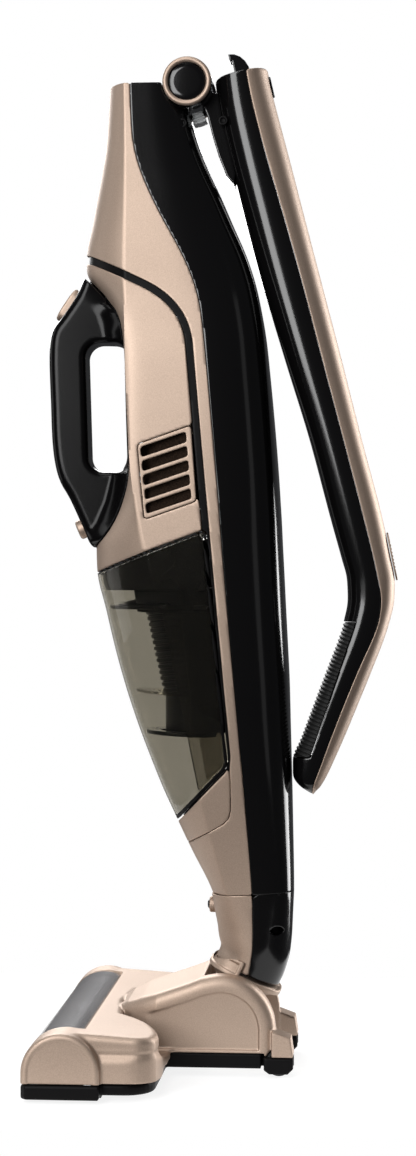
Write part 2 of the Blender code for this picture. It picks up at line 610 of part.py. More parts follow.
def build_stick_top(gold, black, steel, grey):
    loop = [(x, y) for x, y, _ in body_section(641.0, WALL + 0.4) if y < -54]
    loop.sort(key=lambda p: math.atan2(p[1] + 54, p[0]))
    tab = [(21.0, -54.0), (16.8, -54.0), (16.8, -39.5)]
    plate = [*loop, *tab, *[(-x, y) for x, y in reversed(tab)]]
    latch = [(-8.5, -70.6), (8.5, -70.6), (8.5, -46.5), (-8.5, -46.5)]
    finish_mesh("stick_top_plate", prism(plate, 639.6, STICK_TOP, [latch], axis="Z"), black)
    arm = [(-52, 598), (-35, 598), (-33.2, 615), (-33.2, 640), (-38, 642.4), (-52, 639)]
    for name, side in sides():
        eye = revolve(((17.6, 16.0), (24.4, 16.0), (24.4, 12.0), (26.4, 12.0)), (0, *HINGE_CENTRE),
                      (side, 0, 0), 28)
        ear = join(eye, prism(arm, min(17.6 * side, 20 * side), max(17.6 * side, 20 * side)))
        ear = cut(ear, cylinder((0, *HINGE_CENTRE), (side, 0, 0), 10, 23, 3.4, 16))
        finish_mesh("hinge_ear_" + name, ear, black)
        ring = tube((0, *HINGE_CENTRE), (side, 0, 0), 24.75, 27.6, HINGE_RING_RADIUS, 12.4, 28)
        finish_mesh("hinge_ring_" + name, ring, gold)
    finish_mesh("hinge_pin", cylinder((0, *HINGE_CENTRE), (1, 0, 0), -22.6, 22.6, 3.0, 16), steel)
    sleeve = arc(HINGE_CENTRE, 24.5, -81, -66, 4) + arc(HINGE_CENTRE, 16.9, -66, -81, 4)
    finish_mesh("wire_sleeve", prism(sleeve, -6, 6), grey)


# ---- hand vacuum --------------------------------------------------------------------------------
HAND_ROWS = (310, 344, 357, 371, 388, 430, 470, 487, 500, 511, 522, 534, 548)
LOUVRE = ((-51.8, 406.1), (-16.8, 418.3), (-13.2, 369.1), (-47.3, 357.2))
LOUVRE_SLOTS = 5
LOUVRE_PITCH = 9.6


def dock_corner(shift, drop):
    """Point where the shifted dock seam meets the dust cup's slanted top, raised by a drop."""
    z = 350.0
    for _ in range(20):
        z = cup_top_z(dock_y(z) + shift) + drop
    return (dock_y(z) + shift, z)


def scaled(outline, factor):
    cy = sum(p[0] for p in outline) / len(outline)
    cz = sum(p[1] for p in outline) / len(outline)
    return [(cy + (y - cy) * factor, cz + (z - cz) * factor) for y, z in outline]


def hand_outline(dock_shift, bottom, grip_shift):
    right = offset_path(dock_path(), dock_shift)[:9]
    left = list(reversed(offset_path(GRIP_SEAM, grip_shift)))
    return [*right, dock_corner(dock_shift, bottom), (-98.0, cup_top_z(-98.0) + bottom), *left]


def build_hand_shells(gold):
    shell = keep(body_loft(HAND_ROWS), prism(hand_outline(-1.0, 0.5, 0.25), 0.15, 60))
    hollow = keep(body_loft((300, *HAND_ROWS[1:-1], 560), WALL),
                  prism(hand_outline(-1.0 - WALL, -12.0, 0.25 + WALL), -5, 60))
    shell = cut(shell, hollow, prism(scaled(LOUVRE, 1.018), 10, 60))
    other = mirrored(shell)
    finish_mesh("hand_shell_left", shell, gold)
    finish_mesh("hand_shell_right", other, gold)


def build_louvres(gold, foam):
    rows = (350, 388, 425)
    panel = cut(keep(body_loft(rows), prism(LOUVRE, 20, 60)), body_loft((345, *rows[1:-1], 430), 2.0))
    for k in range(LOUVRE_SLOTS):
        shift, drop = 0.88 * k, LOUVRE_PITCH * k
        slot = [(-49.2 + shift, 403.4 - drop), (-18.8 + shift, 413.7 - drop),
                (-18.2 + shift, 406.9 - drop), (-48.6 + shift, 396.6 - drop)]
        panel = cut(panel, prism(slot, 20, 60))
    pad = cut(keep(body_loft(rows, 2.8), prism(scaled(LOUVRE, 0.99), 20, 60)),
              body_loft((345, *rows[1:-1], 430), 6.0))
    for name, side in sides():
        for label, mesh, mat in (("louvre_panel_", panel, gold), ("exhaust_foam_", pad, foam)):
            finish_mesh(label + name, mesh.copy() if side > 0 else mirrored(mesh), mat)


def closed_inset(loop, distances):
    """Move the points of a closed anticlockwise (y, z) loop inwards by their own distances."""
    moved = []
    for k, point in enumerate(loop):
        before, after = loop[k - 1], loop[(k + 1) % len(loop)]
        dy, dz = after[0] - before[0], after[1] - before[1]
        size = math.hypot(dy, dz)
        moved.append((point[0] - dz / size * distances[k], point[1] + dy / size * distances[k]))
    return moved


def grip_half_width(y, z):
    """The grip is narrow at its front bar and as wide as the body where it joins it."""
    seam = curve_value([(b, a) for a, b in reversed(GRIP_SEAM)], z)
    body = max(body_half_width(seam, z), GRIP_HALF_WIDTH)
    share = min(max((y + 88.0) / max(seam + 88.0, 1.0), 0.0), 1.0)
    return GRIP_HALF_WIDTH + (body - GRIP_HALF_WIDTH) * share * share * (3 - 2 * share)


def finger_slot_loop():
    cy, cz, depth, height = FINGER_SLOT
    radius = 10.0
    loop = []
    for sy, sz, start in ((1, 1, 0), (-1, 1, 90), (-1, -1, 180), (1, -1, 270)):
        corner = (cy + sy * (depth / 2 - radius), cz + sz * (height / 2 - radius))
        loop += arc(corner, radius, start, start + 90, 3)
    return loop


def build_grip(black, gold):
    seam = list(reversed(GRIP_SEAM[1:-1]))
    outer = [*GRIP_EDGE, *seam]
    round_off = [2.0] + [5.0] * (len(GRIP_EDGE) - 2) + [2.0] + [0.6] * len(seam)
    slot = finger_slot_loop()
    slot_round = [-1.5 if y > -72 else -4.5 for y, _ in slot]
    flat = [0.0] * max(len(outer), len(slot))
    loops = {"edge": (outer, round_off), "side": (closed_inset(outer, round_off), flat),
             "slot_side": (closed_inset(slot, slot_round), flat), "slot": (slot, [-d for d in slot_round])}
    bm = bmesh.new()
    rings = {}
    for sign in (1, -1):
        for key, (loop, drop) in loops.items():
            rings[key, sign] = [bm.verts.new((sign * (grip_half_width(y, z) - drop[k]), y, z))
                                for k, (y, z) in enumerate(loop)]

    def strip(first, second):
        for k in range(len(first)):
            n = (k + 1) % len(first)
            bm.faces.new((first[k], first[n], second[n], second[k]))

    for key in ("edge", "slot"):
        strip(rings[key, 1], rings[key, -1])
    for sign in (1, -1):
        strip(rings["edge", sign], rings["side", sign])
        strip(rings["slot_side", sign], rings["slot", sign])
        edges = []
        for key in ("side", "slot_side"):
            ring = rings[key, sign]
            edges += [bm.edges.get((ring[k], ring[(k + 1) % len(ring)])) for k in range(len(ring))]
        bmesh.ops.triangle_fill(bm, use_beauty=True, use_dissolve=False, edges=edges, normal=(sign, 0, 0))
    bmesh.ops.triangulate(bm, faces=bm.faces)
    grip = to_mesh(bm)

    power = Vector((0.0, -100.6, 499.6)), Vector((0.0, -0.83, 0.558))
    release = Vector((0.0, -91.6, 353.2)), Vector((0.0, -0.92, -0.392))
    grip = cut(grip, pill(*power, 12.5, 6.5, ((-4.5, 1.0), (9.0, 1.0))),
               pill(*release, 6.9, 6.9, ((-4.5, 1.0), (9.0, 1.0))))
    finish_mesh("d_grip", grip, black)
    power_button = pill(*power, 12.0, 6.0, ((-2.4, 1.0), (1.6, 1.0), (2.6, 0.86)))
    finish_mesh("power_button", power_button, gold, power[0])
    release_button = pill(*release, 6.4, 6.4, ((-2.4, 1.0), (1.6, 1.0), (2.6, 0.8)))
    finish_mesh("cup_release_button", release_button, gold, release[0])


def pill(centre, axis, half_long, half_wide, levels, count=20):
    """Oval button along an axis in the (y, z) plane: levels are (distance along it, size share)."""
    axis = axis.normalized()
    slope = Vector((0.0, -axis.z, axis.y))
    loops = []
    for along, share in levels:
        loops.append([centre + axis * along + slope * (math.cos(a) * half_long * share)
                      + Vector((math.sin(a) * half_wide * share, 0, 0))
                      for a in (2 * math.pi * k / count for k in range(count))])
    return loft(loops)


def build_hand_inside(black, steel, board):
    motor = cylinder((0, -35.0, 0), (0, 0, 1), 372, 414, 18.0)
    finish_mesh("fan_motor", motor, steel)
    blades = 9
    outline = []
    for k in range(blades):
        for turn, radius in ((0.0, 9.0), (0.35, 19.5), (0.5, 19.5), (0.3, 9.0)):
            a = 2 * math.pi * (k + turn) / blades
            outline.append((radius * math.cos(a), -37.0 + radius * math.sin(a)))
    finish_mesh("impeller", prism(outline, 357, 368, axis="Z"), black, (0, -37.0, 362.0))
    cells = []
    for row_y, columns, start in ((-33.0, (19, 0, -19), 30), (-45.0, (-19, 0, 19), 210)):
        for x in columns:
            cells += [(a, b) for a, b in arc((x, row_y), 9.3, start, start + 120, 5)]
    finish_mesh("battery_pack", prism(cells, 422, 478, axis="Z"), black)
    plate = [(-20, -52), (20, -52), (20, -30), (-20, -30)]
    finish_mesh("control_board", prism(plate, 483, 484.6, axis="Z"), board)


# ---- dust cup -----------------------------------------------------------------------------------
CUP_ROWS = (150, 180, 215, 265, 312, 325, 344, 358)


def cup_outline(shift, top):
    """Side view of the cup, from its slanted top down the dock seam to below its nose."""
    lower = offset_path(dock_path(), shift)[10:]
    return [(-100, cup_top_z(-100) + top), dock_corner(shift, top), *lower, (-100, 120)]


def build_dust_cup(smoke, rubber, black):
    cup = keep(body_loft(CUP_ROWS), prism(cup_outline(-0.7, -1.9), -60, 60))
    hollow = keep(body_loft((140, *CUP_ROWS[1:-1], 370), 2.2), prism(cup_outline(-2.9, 12.0), -60, 60))
    cup = cut(cup, hollow, cylinder(DUCT_START, DUCT_AXIS, -8, 6, 11.0))
    finish_mesh("dust_cup", cup, smoke)

    rows = (310, 325, 344, 358)
    rear = dock_corner(-1.4, 0.0)
    band = [(-100, cup_top_z(-100) - 1.6), (rear[0], rear[1] - 1.6), (rear[0], rear[1] + 0.1),
            (-100, cup_top_z(-100) + 0.1)]
    opening = [(-100, 290), (rear[0] - 5, 290), (rear[0] - 5, 370), (-100, 370)]
    ring = cut(keep(body_loft(rows, 0.4), prism(band, -60, 60)),
               keep(body_loft((300, 325, 344, 370), 5.0), prism(opening, -60, 60)))
    finish_mesh("cup_seal", ring, rubber)

    inner = 3.2
    right = dock_corner(-3.6, -2.2)
    lid = [(-100, cup_top_z(-100) - 2.2), right, (dock_y(312) - 3.6, 312), (-100, 312)]
    lid_solid = keep(body_loft((265, 312, 325, 344, 358), inner), prism(lid, -60, 60))
    finish_mesh("filter_housing", lid_solid, black)
    flange = [(-100, 298.5), (-100, 303), (dock_y(303) - 3.6, 303), (dock_y(298.5) - 3.6, 298.5)]
    lean = Vector((0, DOCK_LEAN, -1)).normalized()
    cone = revolve(((0, 20.0), (9.5, 20.0), (9.5, 22.0), (66, 14.6)), (0, -30.0, 309.7), lean)
    flange_mesh = keep(body_loft((265, 312), inner), prism(flange, -60, 60))
    finish_mesh("filter_cone", join(flange_mesh, cone), black)
    loops = []
    for z, radius in ((213, 21.5), (216, 21.5), (216, 17.0), (242.5, 17.0), (242.5, 13.0), (213, 13.0)):
        loops.append([(radius * math.cos(a), -20.0 + radius * math.sin(a), z)
                      for a in (2 * math.pi * k / 24 for k in range(24))])
    finish_mesh("inlet_duct", ring_loft(loops), black)


# ---- handle -------------------------------------------------------------------------------------
HANDLE_ROWS = (178.5, 184, 192, 213, 266, 290, 305, 319, 334, 411, 516, 596, 635, 662)
HANDLE_SPLIT_ROWS = (170, 182, 202, 240, 280, 293, 306, 319, 332, 358, 463, 556, 622, 670)


def face_point(along, above):
    """(y, z) from the fold axis, along the handle's end face and above it."""
    c, s = math.cos(HANDLE_FACE_ANGLE), math.sin(HANDLE_FACE_ANGLE)
    return (HINGE_CENTRE[0] + along * c - above * s, HINGE_CENTRE[1] + along * s + above * c)


def handle_region(shift, far):
    """Side-view outline on one side of the handle's seam, out to a far y."""
    seam = [(curve_value(HANDLE, z, 2) + shift, z) for z in HANDLE_SPLIT_ROWS]
    return [*seam, (far, 670), (far, 170)]


def build_handle_shells(black, gold, rubber):
    over = [face_point(-10, -0.3), face_point(90, -0.3), face_point(90, 60), face_point(-10, 60)]
    outer = cut(handle_loft(HANDLE_ROWS), prism(over, -40, 40))
    inner = handle_loft((187, *HANDLE_ROWS[3:-1], 680), WALL)
    window = prism([(24.5, 634.3), (42.5, 638.4), (39.2, 652.6), (21.2, 648.5)], -6.4, 6.4)
    spine = cut(keep(outer.copy(), prism(handle_region(0.2, 150), -40, 40)), inner.copy(), window)
    finish_mesh("handle_spine", spine, gold)
    insert = [(88.0, 291.0), (58.5, 203.0), (30.0, 203.0), (60.0, 291.0)]
    rest = [(88.35, 291.6), (58.7, 202.5), (30.0, 202.5), (60.0, 291.6)]
    wrap = cut(keep(outer.copy(), prism(insert, -40, 40)), inner.copy())
    finish_mesh("grip_insert", wrap, rubber)
    cover = cut(keep(outer, prism(handle_region(-0.2, -60), -40, 40)), inner, prism(rest, -40, 40))
    finish_mesh("handle_cover", cover, black)
    slab = [face_point(a, b) for a, b in ((10, -3.4), (60, -3.4), (60, -0.9), (10, -0.9))]
    hole = [face_point(a, b) for a, b in ((26, -9), (48.6, -9), (48.6, 3), (26, 3))]
    plate = keep(handle_loft((596, 635, 662), WALL + GAP), prism(slab, -40, 40))
    finish_mesh("handle_end_plate", cut(plate, prism(hole, -7.2, 7.2)), black)


def build_handle_fittings(black, gold, steel):
    eye = tube((0, *HINGE_CENTRE), (1, 0, 0), -17.1, 17.1, HINGE_EYE_RADIUS, 3.4, 28)
    leaf = [(-15.0, 634.0), (-9.0, 638.0), (-4.8, 634.0), (-2.6, 621.5), (0.6, 609.0), (3.6, 596.0),
            (7.2, 583.0), (7.6, 577.9), (5.6, 580.5), (3.4, 583.4), (-1.6, 596.0), (-5.6, 609.0),
            (-8.9, 622.0), (-11.2, 628.0)]
    finish_mesh("handle_knuckle", join(eye, prism(leaf, -13, 13)), black, (0, *HINGE_CENTRE))

    side_view = ((31, -7), (45.2, -7), (45.2, -0.6), (48, 0.2), (48, 4.8), (43.5, 5.2), (37, 14),
                 (33, 15.6), (29.6, 12.6), (31, 11.4))
    hook = [face_point(a, b) for a, b in side_view]
    finish_mesh("latch_hook", prism(hook, -6.5, 6.5), black, (0, *face_point(39, 0)))
    normal = Vector((0, 0.974, 0.226))
    button = []
    for along, share in ((-3.0, 1.0), (0.6, 1.0), (1.3, 0.85)):
        middle = Vector((0, 31.9, 643.4)) + normal * along
        slope = Vector((0, -normal.z, normal.y))
        button.append([middle + slope * (b * share) + Vector((a * share, 0, 0))
                       for a, b in superellipse(0, 6.6, 5.9, 4, 16)])
    finish_mesh("fold_release_button", loft(button), black, (0, 31.9, 643.4))

    normal = Vector((0, 0.972, 0.235))
    slope = Vector((0, -normal.z, normal.y))
    slider = []
    for along, share in ((0.6, 1.0), (1.4, 1.0), (2.0, 0.9)):
        middle = Vector((0, 110.6, 334.0)) + normal * along
        slider.append([middle + slope * (b * share) + Vector((a * share, 0, 0))
                       for a, b in superellipse(0, 16.0, 6.5, 4, 16)])
    finish_mesh("slide_switch", loft(slider), gold, (0, 110.6, 334.0))


# ---- assembly -----------------------------------------------------------------------------------
def main():
    for obj in list(bpy.data.objects):
        bpy.data.objects.remove(obj)
    gold = material("champagne_gold", (0.62, 0.49, 0.38), 0.75, 0.34)
    black = material("gloss_black", (0.012, 0.012, 0.013), 0.0, 0.12)
    satin = material("satin_black", (0.02, 0.02, 0.021), 0.0, 0.45)
    smoke = material("smoked_clear", (0.20, 0.19, 0.15), 0.0, 0.08, 0.45)
    grey = material("grey_clear", (0.30, 0.29, 0.29), 0.0, 0.2, 0.7)
    steel = material("steel", (0.55, 0.55, 0.56), 1.0, 0.3)
    rubber = material("soft_black", (0.03, 0.03, 0.03), 0.0, 0.7)
    foam = material("brown_foam", (0.10, 0.06, 0.04), 0.0, 0.95)
    bristle = material("bristle", (0.06, 0.06, 0.07), 0.0, 0.8)
    board = material("circuit_board", (0.03, 0.18, 0.08), 0.0, 0.5)

    build_head_cover(gold)
    build_window(grey)
    build_base(satin)
    build_brush(satin, bristle, steel)
    build_wheels(rubber, steel, bristle)
    build_yoke(gold, steel)
    build_neck(gold, black)
    build_stick_shells(gold, black)
    build_dock(gold, satin)
    build_stick_top(gold, black, steel, grey)
    build_hand_shells(gold)
    build_louvres(gold, foam)
    build_grip(black, gold)
    build_hand_inside(satin, steel, board)
    build_dust_cup(smoke, rubber, satin)
    build_handle_shells(black, gold, rubber)
    build_handle_fittings(black, gold, steel)


main()
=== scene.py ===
"""Cordless stick vacuum, parked upright: its looks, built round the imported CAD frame.

Drawing sizes are in millimetres in the frame's own axes: the vacuum faces -Y, +Z is up, left is +X.
"""
import math

import bmesh
import bpy
import numpy as np
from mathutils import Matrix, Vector


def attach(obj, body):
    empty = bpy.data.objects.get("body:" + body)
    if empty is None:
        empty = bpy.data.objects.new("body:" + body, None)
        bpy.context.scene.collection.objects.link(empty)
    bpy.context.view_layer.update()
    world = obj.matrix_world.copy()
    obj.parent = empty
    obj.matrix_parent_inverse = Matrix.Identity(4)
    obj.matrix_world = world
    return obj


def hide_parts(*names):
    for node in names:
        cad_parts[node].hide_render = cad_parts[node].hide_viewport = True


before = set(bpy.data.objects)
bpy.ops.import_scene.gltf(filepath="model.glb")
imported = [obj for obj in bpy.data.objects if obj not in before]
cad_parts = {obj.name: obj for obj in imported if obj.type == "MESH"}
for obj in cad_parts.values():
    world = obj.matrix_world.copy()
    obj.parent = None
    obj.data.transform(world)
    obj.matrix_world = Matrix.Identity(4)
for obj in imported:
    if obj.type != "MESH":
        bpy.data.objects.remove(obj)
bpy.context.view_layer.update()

MM = 0.001


# ---- meshes -------------------------------------------------------------------------------------
def add_piece(name, points, faces, mat, body, nodes=(), sharp=None):
    """Make a mesh object from millimetre points and hang it on a CAD body."""
    mesh = bpy.data.meshes.new(name)
    mesh.from_pydata((np.asarray(points, dtype=float) * MM).tolist(), [], faces)
    mesh.validate()
    bm = bmesh.new()
    bm.from_mesh(mesh)
    bmesh.ops.recalc_face_normals(bm, faces=bm.faces)
    bm.to_mesh(mesh)
    bm.free()
    mesh.materials.append(mat)
    mesh.shade_smooth()
    if sharp is not None:
        mesh.set_sharp_from_angle(angle=math.radians(sharp))
    piece = bpy.data.objects.new(name, mesh)
    bpy.context.collection.objects.link(piece)
    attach(piece, body)
    if nodes:
        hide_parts(*nodes)
    return piece


def unit(v):
    return v / np.maximum(np.linalg.norm(v, axis=-1, keepdims=True), 1e-9)


# ---- signed distances, negative inside ------------------------------------------------------------
def polygon(points, a, b):
    """Signed distance to a closed outline in a plane whose coordinates are a and b."""
    best = np.full(np.broadcast(a, b).shape, 1e9)
    inside = np.zeros(best.shape, dtype=bool)
    last = points[-1]
    for point in points:
        ea, eb = point[0] - last[0], point[1] - last[1]
        da, db = a - last[0], b - last[1]
        t = np.clip((da * ea + db * eb) / max(ea * ea + eb * eb, 1e-9), 0.0, 1.0)
        best = np.minimum(best, (da - t * ea) ** 2 + (db - t * eb) ** 2)
        crossing = (last[1] > b) != (point[1] > b)
        with np.errstate(divide="ignore", invalid="ignore"):
            side = a < ea * (b - last[1]) / (eb if eb else 1e-9) + last[0]
        inside ^= crossing & side
        last = point
    return np.where(inside, -1.0, 1.0) * np.sqrt(best)


def both(a, b, blend=0.0):
    """Intersection of two solids, with an edge rounded over the blend distance."""
    if not blend:
        return np.maximum(a, b)
    h = np.clip(0.5 - 0.5 * (b - a) / blend, 0.0, 1.0)
    return b + (a - b) * h + blend * h * (1.0 - h)


def either(a, b, blend=0.0):
    """Union of two solids, with a fillet over the blend distance."""
    return -both(-a, -b, blend)


def without(a, b, blend=0.0):
    return both(a, -b, blend)


def slab(value, low, high):
    return np.maximum(low - value, value - high)


def least(first, *rest):
    """Smallest of several values at each point."""
    for value in rest:
        first = np.minimum(first, value)
    return first


def rounded_box(x, y, z, centre, half, radius):
    q = [np.abs(v - c) - (h - radius) for v, c, h in zip((x, y, z), centre, half)]
    outside = np.sqrt(sum(np.maximum(v, 0.0) ** 2 for v in q))
    return outside + np.minimum(np.maximum(np.maximum(q[0], q[1]), q[2]), 0.0) - radius


def skin(solid, low, high, cell, refine=2):
    """Quads of a solid's surface: surface nets, then steps onto the exact surface."""
    axes = [np.arange(a, b + cell, cell) for a, b in zip(low, high)]
    x, y, z = axes[0][:, None, None], axes[1][None, :, None], axes[2][None, None, :]
    field = np.broadcast_to(solid(x, y, z), [len(a) for a in axes]).astype(np.float32)
    inside = field < 0
    corners = [(i, j, k) for i in (0, 1) for j in (0, 1) for k in (0, 1)]
    shape = tuple(n - 1 for n in field.shape)
    count = np.zeros(shape, dtype=np.int8)
    for i, j, k in corners:
        count += inside[i:i + shape[0], j:j + shape[1], k:k + shape[2]]
    cells = np.argwhere((count > 0) & (count < 8))
    values = np.stack([field[cells[:, 0] + i, cells[:, 1] + j, cells[:, 2] + k] for i, j, k in corners], 1)
    total = np.zeros((len(cells), 3))
    hits = np.zeros(len(cells))
    for m, first in enumerate(corners):
        for n, second in enumerate(corners):
            step = np.subtract(second, first)
            if n <= m or np.abs(step).sum() != 1:
                continue
            u, v = values[:, m], values[:, n]
            cross = (u < 0) != (v < 0)
            t = np.where(cross, u / np.where(cross, u - v, 1.0), 0.0)
            total += np.where(cross[:, None], np.array(first) + t[:, None] * step, 0.0)
            hits += cross
    points = np.array(low) + cell * (cells + total / hits[:, None])
    number = np.full(shape, -1, dtype=np.int64)
    number[cells[:, 0], cells[:, 1], cells[:, 2]] = np.arange(len(cells))
    quads = []
    for axis in range(3):
        other = [a for a in range(3) if a != axis]
        lower, upper = [slice(None)] * 3, [slice(None)] * 3
        lower[axis], upper[axis] = slice(0, -1), slice(1, None)
        spots = np.argwhere(inside[tuple(lower)] != inside[tuple(upper)])
        across = spots[:, other]
        spots = spots[np.all((across > 0) & (across < np.array(shape)[other]), axis=1)]
        ring = []
        for da, db in ((-1, -1), (0, -1), (0, 0), (-1, 0)):
            place = spots.copy()
            place[:, other[0]] += da
            place[:, other[1]] += db
            ring.append(number[place[:, 0], place[:, 1], place[:, 2]])
        ring = np.stack(ring, 1)
        starts_inside = inside[spots[:, 0], spots[:, 1], spots[:, 2]]
        if axis == 1:
            starts_inside = ~starts_inside
        ring[~starts_inside] = ring[~starts_inside][:, ::-1]
        quads.append(ring)
    quads = np.concatenate(quads)
    for _ in range(refine):
        points = settle(solid, points, cell)
    return points, quads.tolist()


def gradient(solid, points, step=0.02):
    """Slope of a signed distance at each point."""
    slopes = []
    for axis in range(3):
        ahead, behind = points.copy(), points.copy()
        ahead[:, axis] += step
        behind[:, axis] -= step
        slopes.append((solid(*ahead.T) - solid(*behind.T)) / (2 * step))
    return np.stack(slopes, 1)


def settle(solid, points, cell):
    """Move points towards the solid's surface, by at most 0.4 of a cell."""
    slope = gradient(solid, points)
    move = solid(*points.T)[:, None] * slope / np.maximum((slope ** 2).sum(1), 0.05)[:, None]
    return points - np.clip(move, -0.4 * cell, 0.4 * cell)


# ---- curves --------------------------------------------------------------------------------------
def curve(table, column, soften=4.0):
    """Smooth function through one column of a table whose first column rises."""
    t = np.array([row[0] for row in table], dtype=float)
    v = np.array([row[column] for row in table], dtype=float)
    chord = np.diff(v) / np.diff(t)
    slope = np.empty_like(v)
    slope[0], slope[-1] = chord[0], chord[-1]
    a, b = chord[:-1], chord[1:]
    with np.errstate(divide="ignore", invalid="ignore"):
        slope[1:-1] = np.where(a * b > 0, 2 * a * b / (a + b), 0.0)
    step = 0.5
    dense = np.arange(t[0] - 30, t[-1] + 30, step)
    i = np.clip(np.searchsorted(t, dense) - 1, 0, len(t) - 2)
    width = t[i + 1] - t[i]
    s = (dense - t[i]) / width
    h = ((1 + 2 * s) * (1 - s) ** 2 * v[i] + s * (1 - s) ** 2 * width * slope[i]
         + s * s * (3 - 2 * s) * v[i + 1] - s * s * (1 - s) * width * slope[i + 1])
    h = np.where(dense < t[0], v[0] + (dense - t[0]) * slope[0], h)
    h = np.where(dense > t[-1], v[-1] + (dense - t[-1]) * slope[-1], h)
    if soften:
        reach = int(3 * soften / step)
        kernel = np.exp(-0.5 * (np.arange(-reach, reach + 1) * step / soften) ** 2)
        kernel /= kernel.sum()
        padded = np.concatenate([h[0] + (h[1] - h[0]) * np.arange(-reach, 0), h,
                                 h[-1] + (h[-1] - h[-2]) * np.arange(1, reach + 1)])
        h = np.convolve(padded, kernel, mode="valid")
    return lambda z: np.interp(z, dense, h)


def bezier(start, control, end, count):
    t = np.linspace(0, 1, count + 1)[1:, None]
    path = (1 - t) ** 2 * np.array(start) + 2 * t * (1 - t) * np.array(control) + t * t * np.array(end)
    return [tuple(p) for p in path]


def arc(centre, radius, start_deg, end_deg, count):
    angles = np.radians(np.linspace(start_deg, end_deg, count + 1))
    return [(centre[0] + radius * math.cos(a), centre[1] + radius * math.sin(a)) for a in angles]


def offset(path, distance):
    """Move an open path to its left, as walked from its first point."""
    p = np.array(path, dtype=float)
    along = unit(np.gradient(p, axis=0))
    return [tuple(q) for q in p + np.stack([-along[:, 1], along[:, 0]], 1) * distance]


def rounded(points, radius, steps=4, fixed=None):
    """Round the corners of a closed outline, apart from those whose second coordinate is fixed."""
    result = []
    for k, corner in enumerate(points):
        if corner[1] == fixed:
            result.append(corner)
            continue
        corner = np.array(corner, dtype=float)
        before = np.array(points[k - 1], dtype=float) - corner
        after = np.array(points[(k + 1) % len(points)], dtype=float) - corner
        reach = min(radius, 0.45 * np.linalg.norm(before), 0.45 * np.linalg.norm(after))
        start = corner + before / np.linalg.norm(before) * reach
        end = corner + after / np.linalg.norm(after) * reach
        result.append(tuple(start))
        result += bezier(start, corner, end, steps)
    return result


# ---- moulded shells: a master surface clipped to a region, with a rolled edge --------------------------
def surface_grid(points, cap_low=False):
    """Master surface from rows of closed loops: points, outward normals and faces."""
    rows, cols = points.shape[:2]
    around = np.roll(points, -1, 1) - np.roll(points, 1, 1)
    along = np.gradient(points, axis=0)
    normal = unit(np.cross(around, along))
    index = np.arange(rows * cols).reshape(rows, cols)
    low, high = index[:-1], index[1:]
    faces = np.stack([low, np.roll(low, -1, 1), np.roll(high, -1, 1), high], -1).reshape(-1, 4)
    flat, normals = points.reshape(-1, 3), normal.reshape(-1, 3)
    faces = [tuple(f) for f in faces.tolist()]
    if cap_low:
        middle = len(flat)
        flat = np.vstack([flat, points[0].mean(0)])
        normals = np.vstack([normals, unit(points[0].mean(0) - points[1].mean(0))])
        faces += [(middle, (k + 1) % cols, k) for k in range(cols)]
    return flat, normals, faces


def clip(points, normals, faces, value):
    """Keep the part of the faces where value is above zero."""
    points, normals = list(points), list(normals)
    made = {}

    def crossing(i, j):
        key = (min(i, j), max(i, j))
        if key not in made:
            t = min(max(value[i] / (value[i] - value[j]), 0.03), 0.97)
            made[key] = len(points)
            points.append(points[i] * (1 - t) + points[j] * t)
            normals.append(unit(normals[i] * (1 - t) + normals[j] * t))
        return made[key]

    good = value > 0
    kept = []
    for face in faces:
        flags = [good[i] for i in face]
        if all(flags):
            kept.append(face)
        elif any(flags):
            ring = []
            for k, i in enumerate(face):
                j = face[(k + 1) % len(face)]
                if good[i]:
                    ring.append(i)
                if good[i] != good[j]:
                    ring.append(crossing(i, j))
            kept.append(tuple(ring))
    used = sorted({i for face in kept for i in face})
    place = {old: new for new, old in enumerate(used)}
    return (np.array([points[i] for i in used]), np.array([normals[i] for i in used]),
            [tuple(place[i] for i in face) for face in kept])


def shell(name, grid, region, mat, body, nodes=(), wall=2.2, roll=0.7):
    """Piece of a master surface where region(x, y, z) > 0, closed by a rolled edge and an inner face."""
    points, normals, faces = clip(*grid, region(*grid[0].T) - roll)
    edges = dict.fromkeys((i, face[(k + 1) % len(face)]) for face in faces for k, i in enumerate(face))
    border = [(a, b) for a, b in edges if (b, a) not in edges]
    rim = sorted({a for pair in border for a in pair})
    p, n = points[rim], normals[rim]
    away = -gradient(region, p)
    away = unit(away - (away * n).sum(1, keepdims=True) * n)
    rolled = [p + away * (roll * math.sin(angle)) - n * (roll * (1 - math.cos(angle)))
              for angle in (math.pi / 4, math.pi / 2)]
    stacked = np.vstack([points, *rolled, points - normals * wall])
    inner = len(points) + 2 * len(rim)
    first_ring = {i: len(points) + k for k, i in enumerate(rim)}
    second_ring = {i: place + len(rim) for i, place in first_ring.items()}
    rows = [dict(zip(rim, rim)), first_ring, second_ring, {i: inner + i for i in rim}]
    result = list(faces)
    for first, second in zip(rows, rows[1:]):
        result += [(first[b], first[a], second[a], second[b]) for a, b in border]
    result += [tuple(inner + i for i in reversed(face)) for face in faces]
    return add_piece(name, stacked, result, mat, body, nodes, sharp=50)


def even_angles(power, count):
    """Angles that space points evenly round a superellipse."""
    a = np.linspace(0, 2 * math.pi, 6001)
    x, y = superellipse(a, power)
    length = np.concatenate([[0], np.cumsum(np.hypot(np.diff(x), np.diff(y)))])
    return np.interp(np.linspace(0, length[-1], count, endpoint=False), length, a)


def superellipse(a, power):
    c, s = np.cos(a), np.sin(a)
    return np.sign(c) * np.abs(c) ** (2 / power), np.sign(s) * np.abs(s) ** (2 / power)


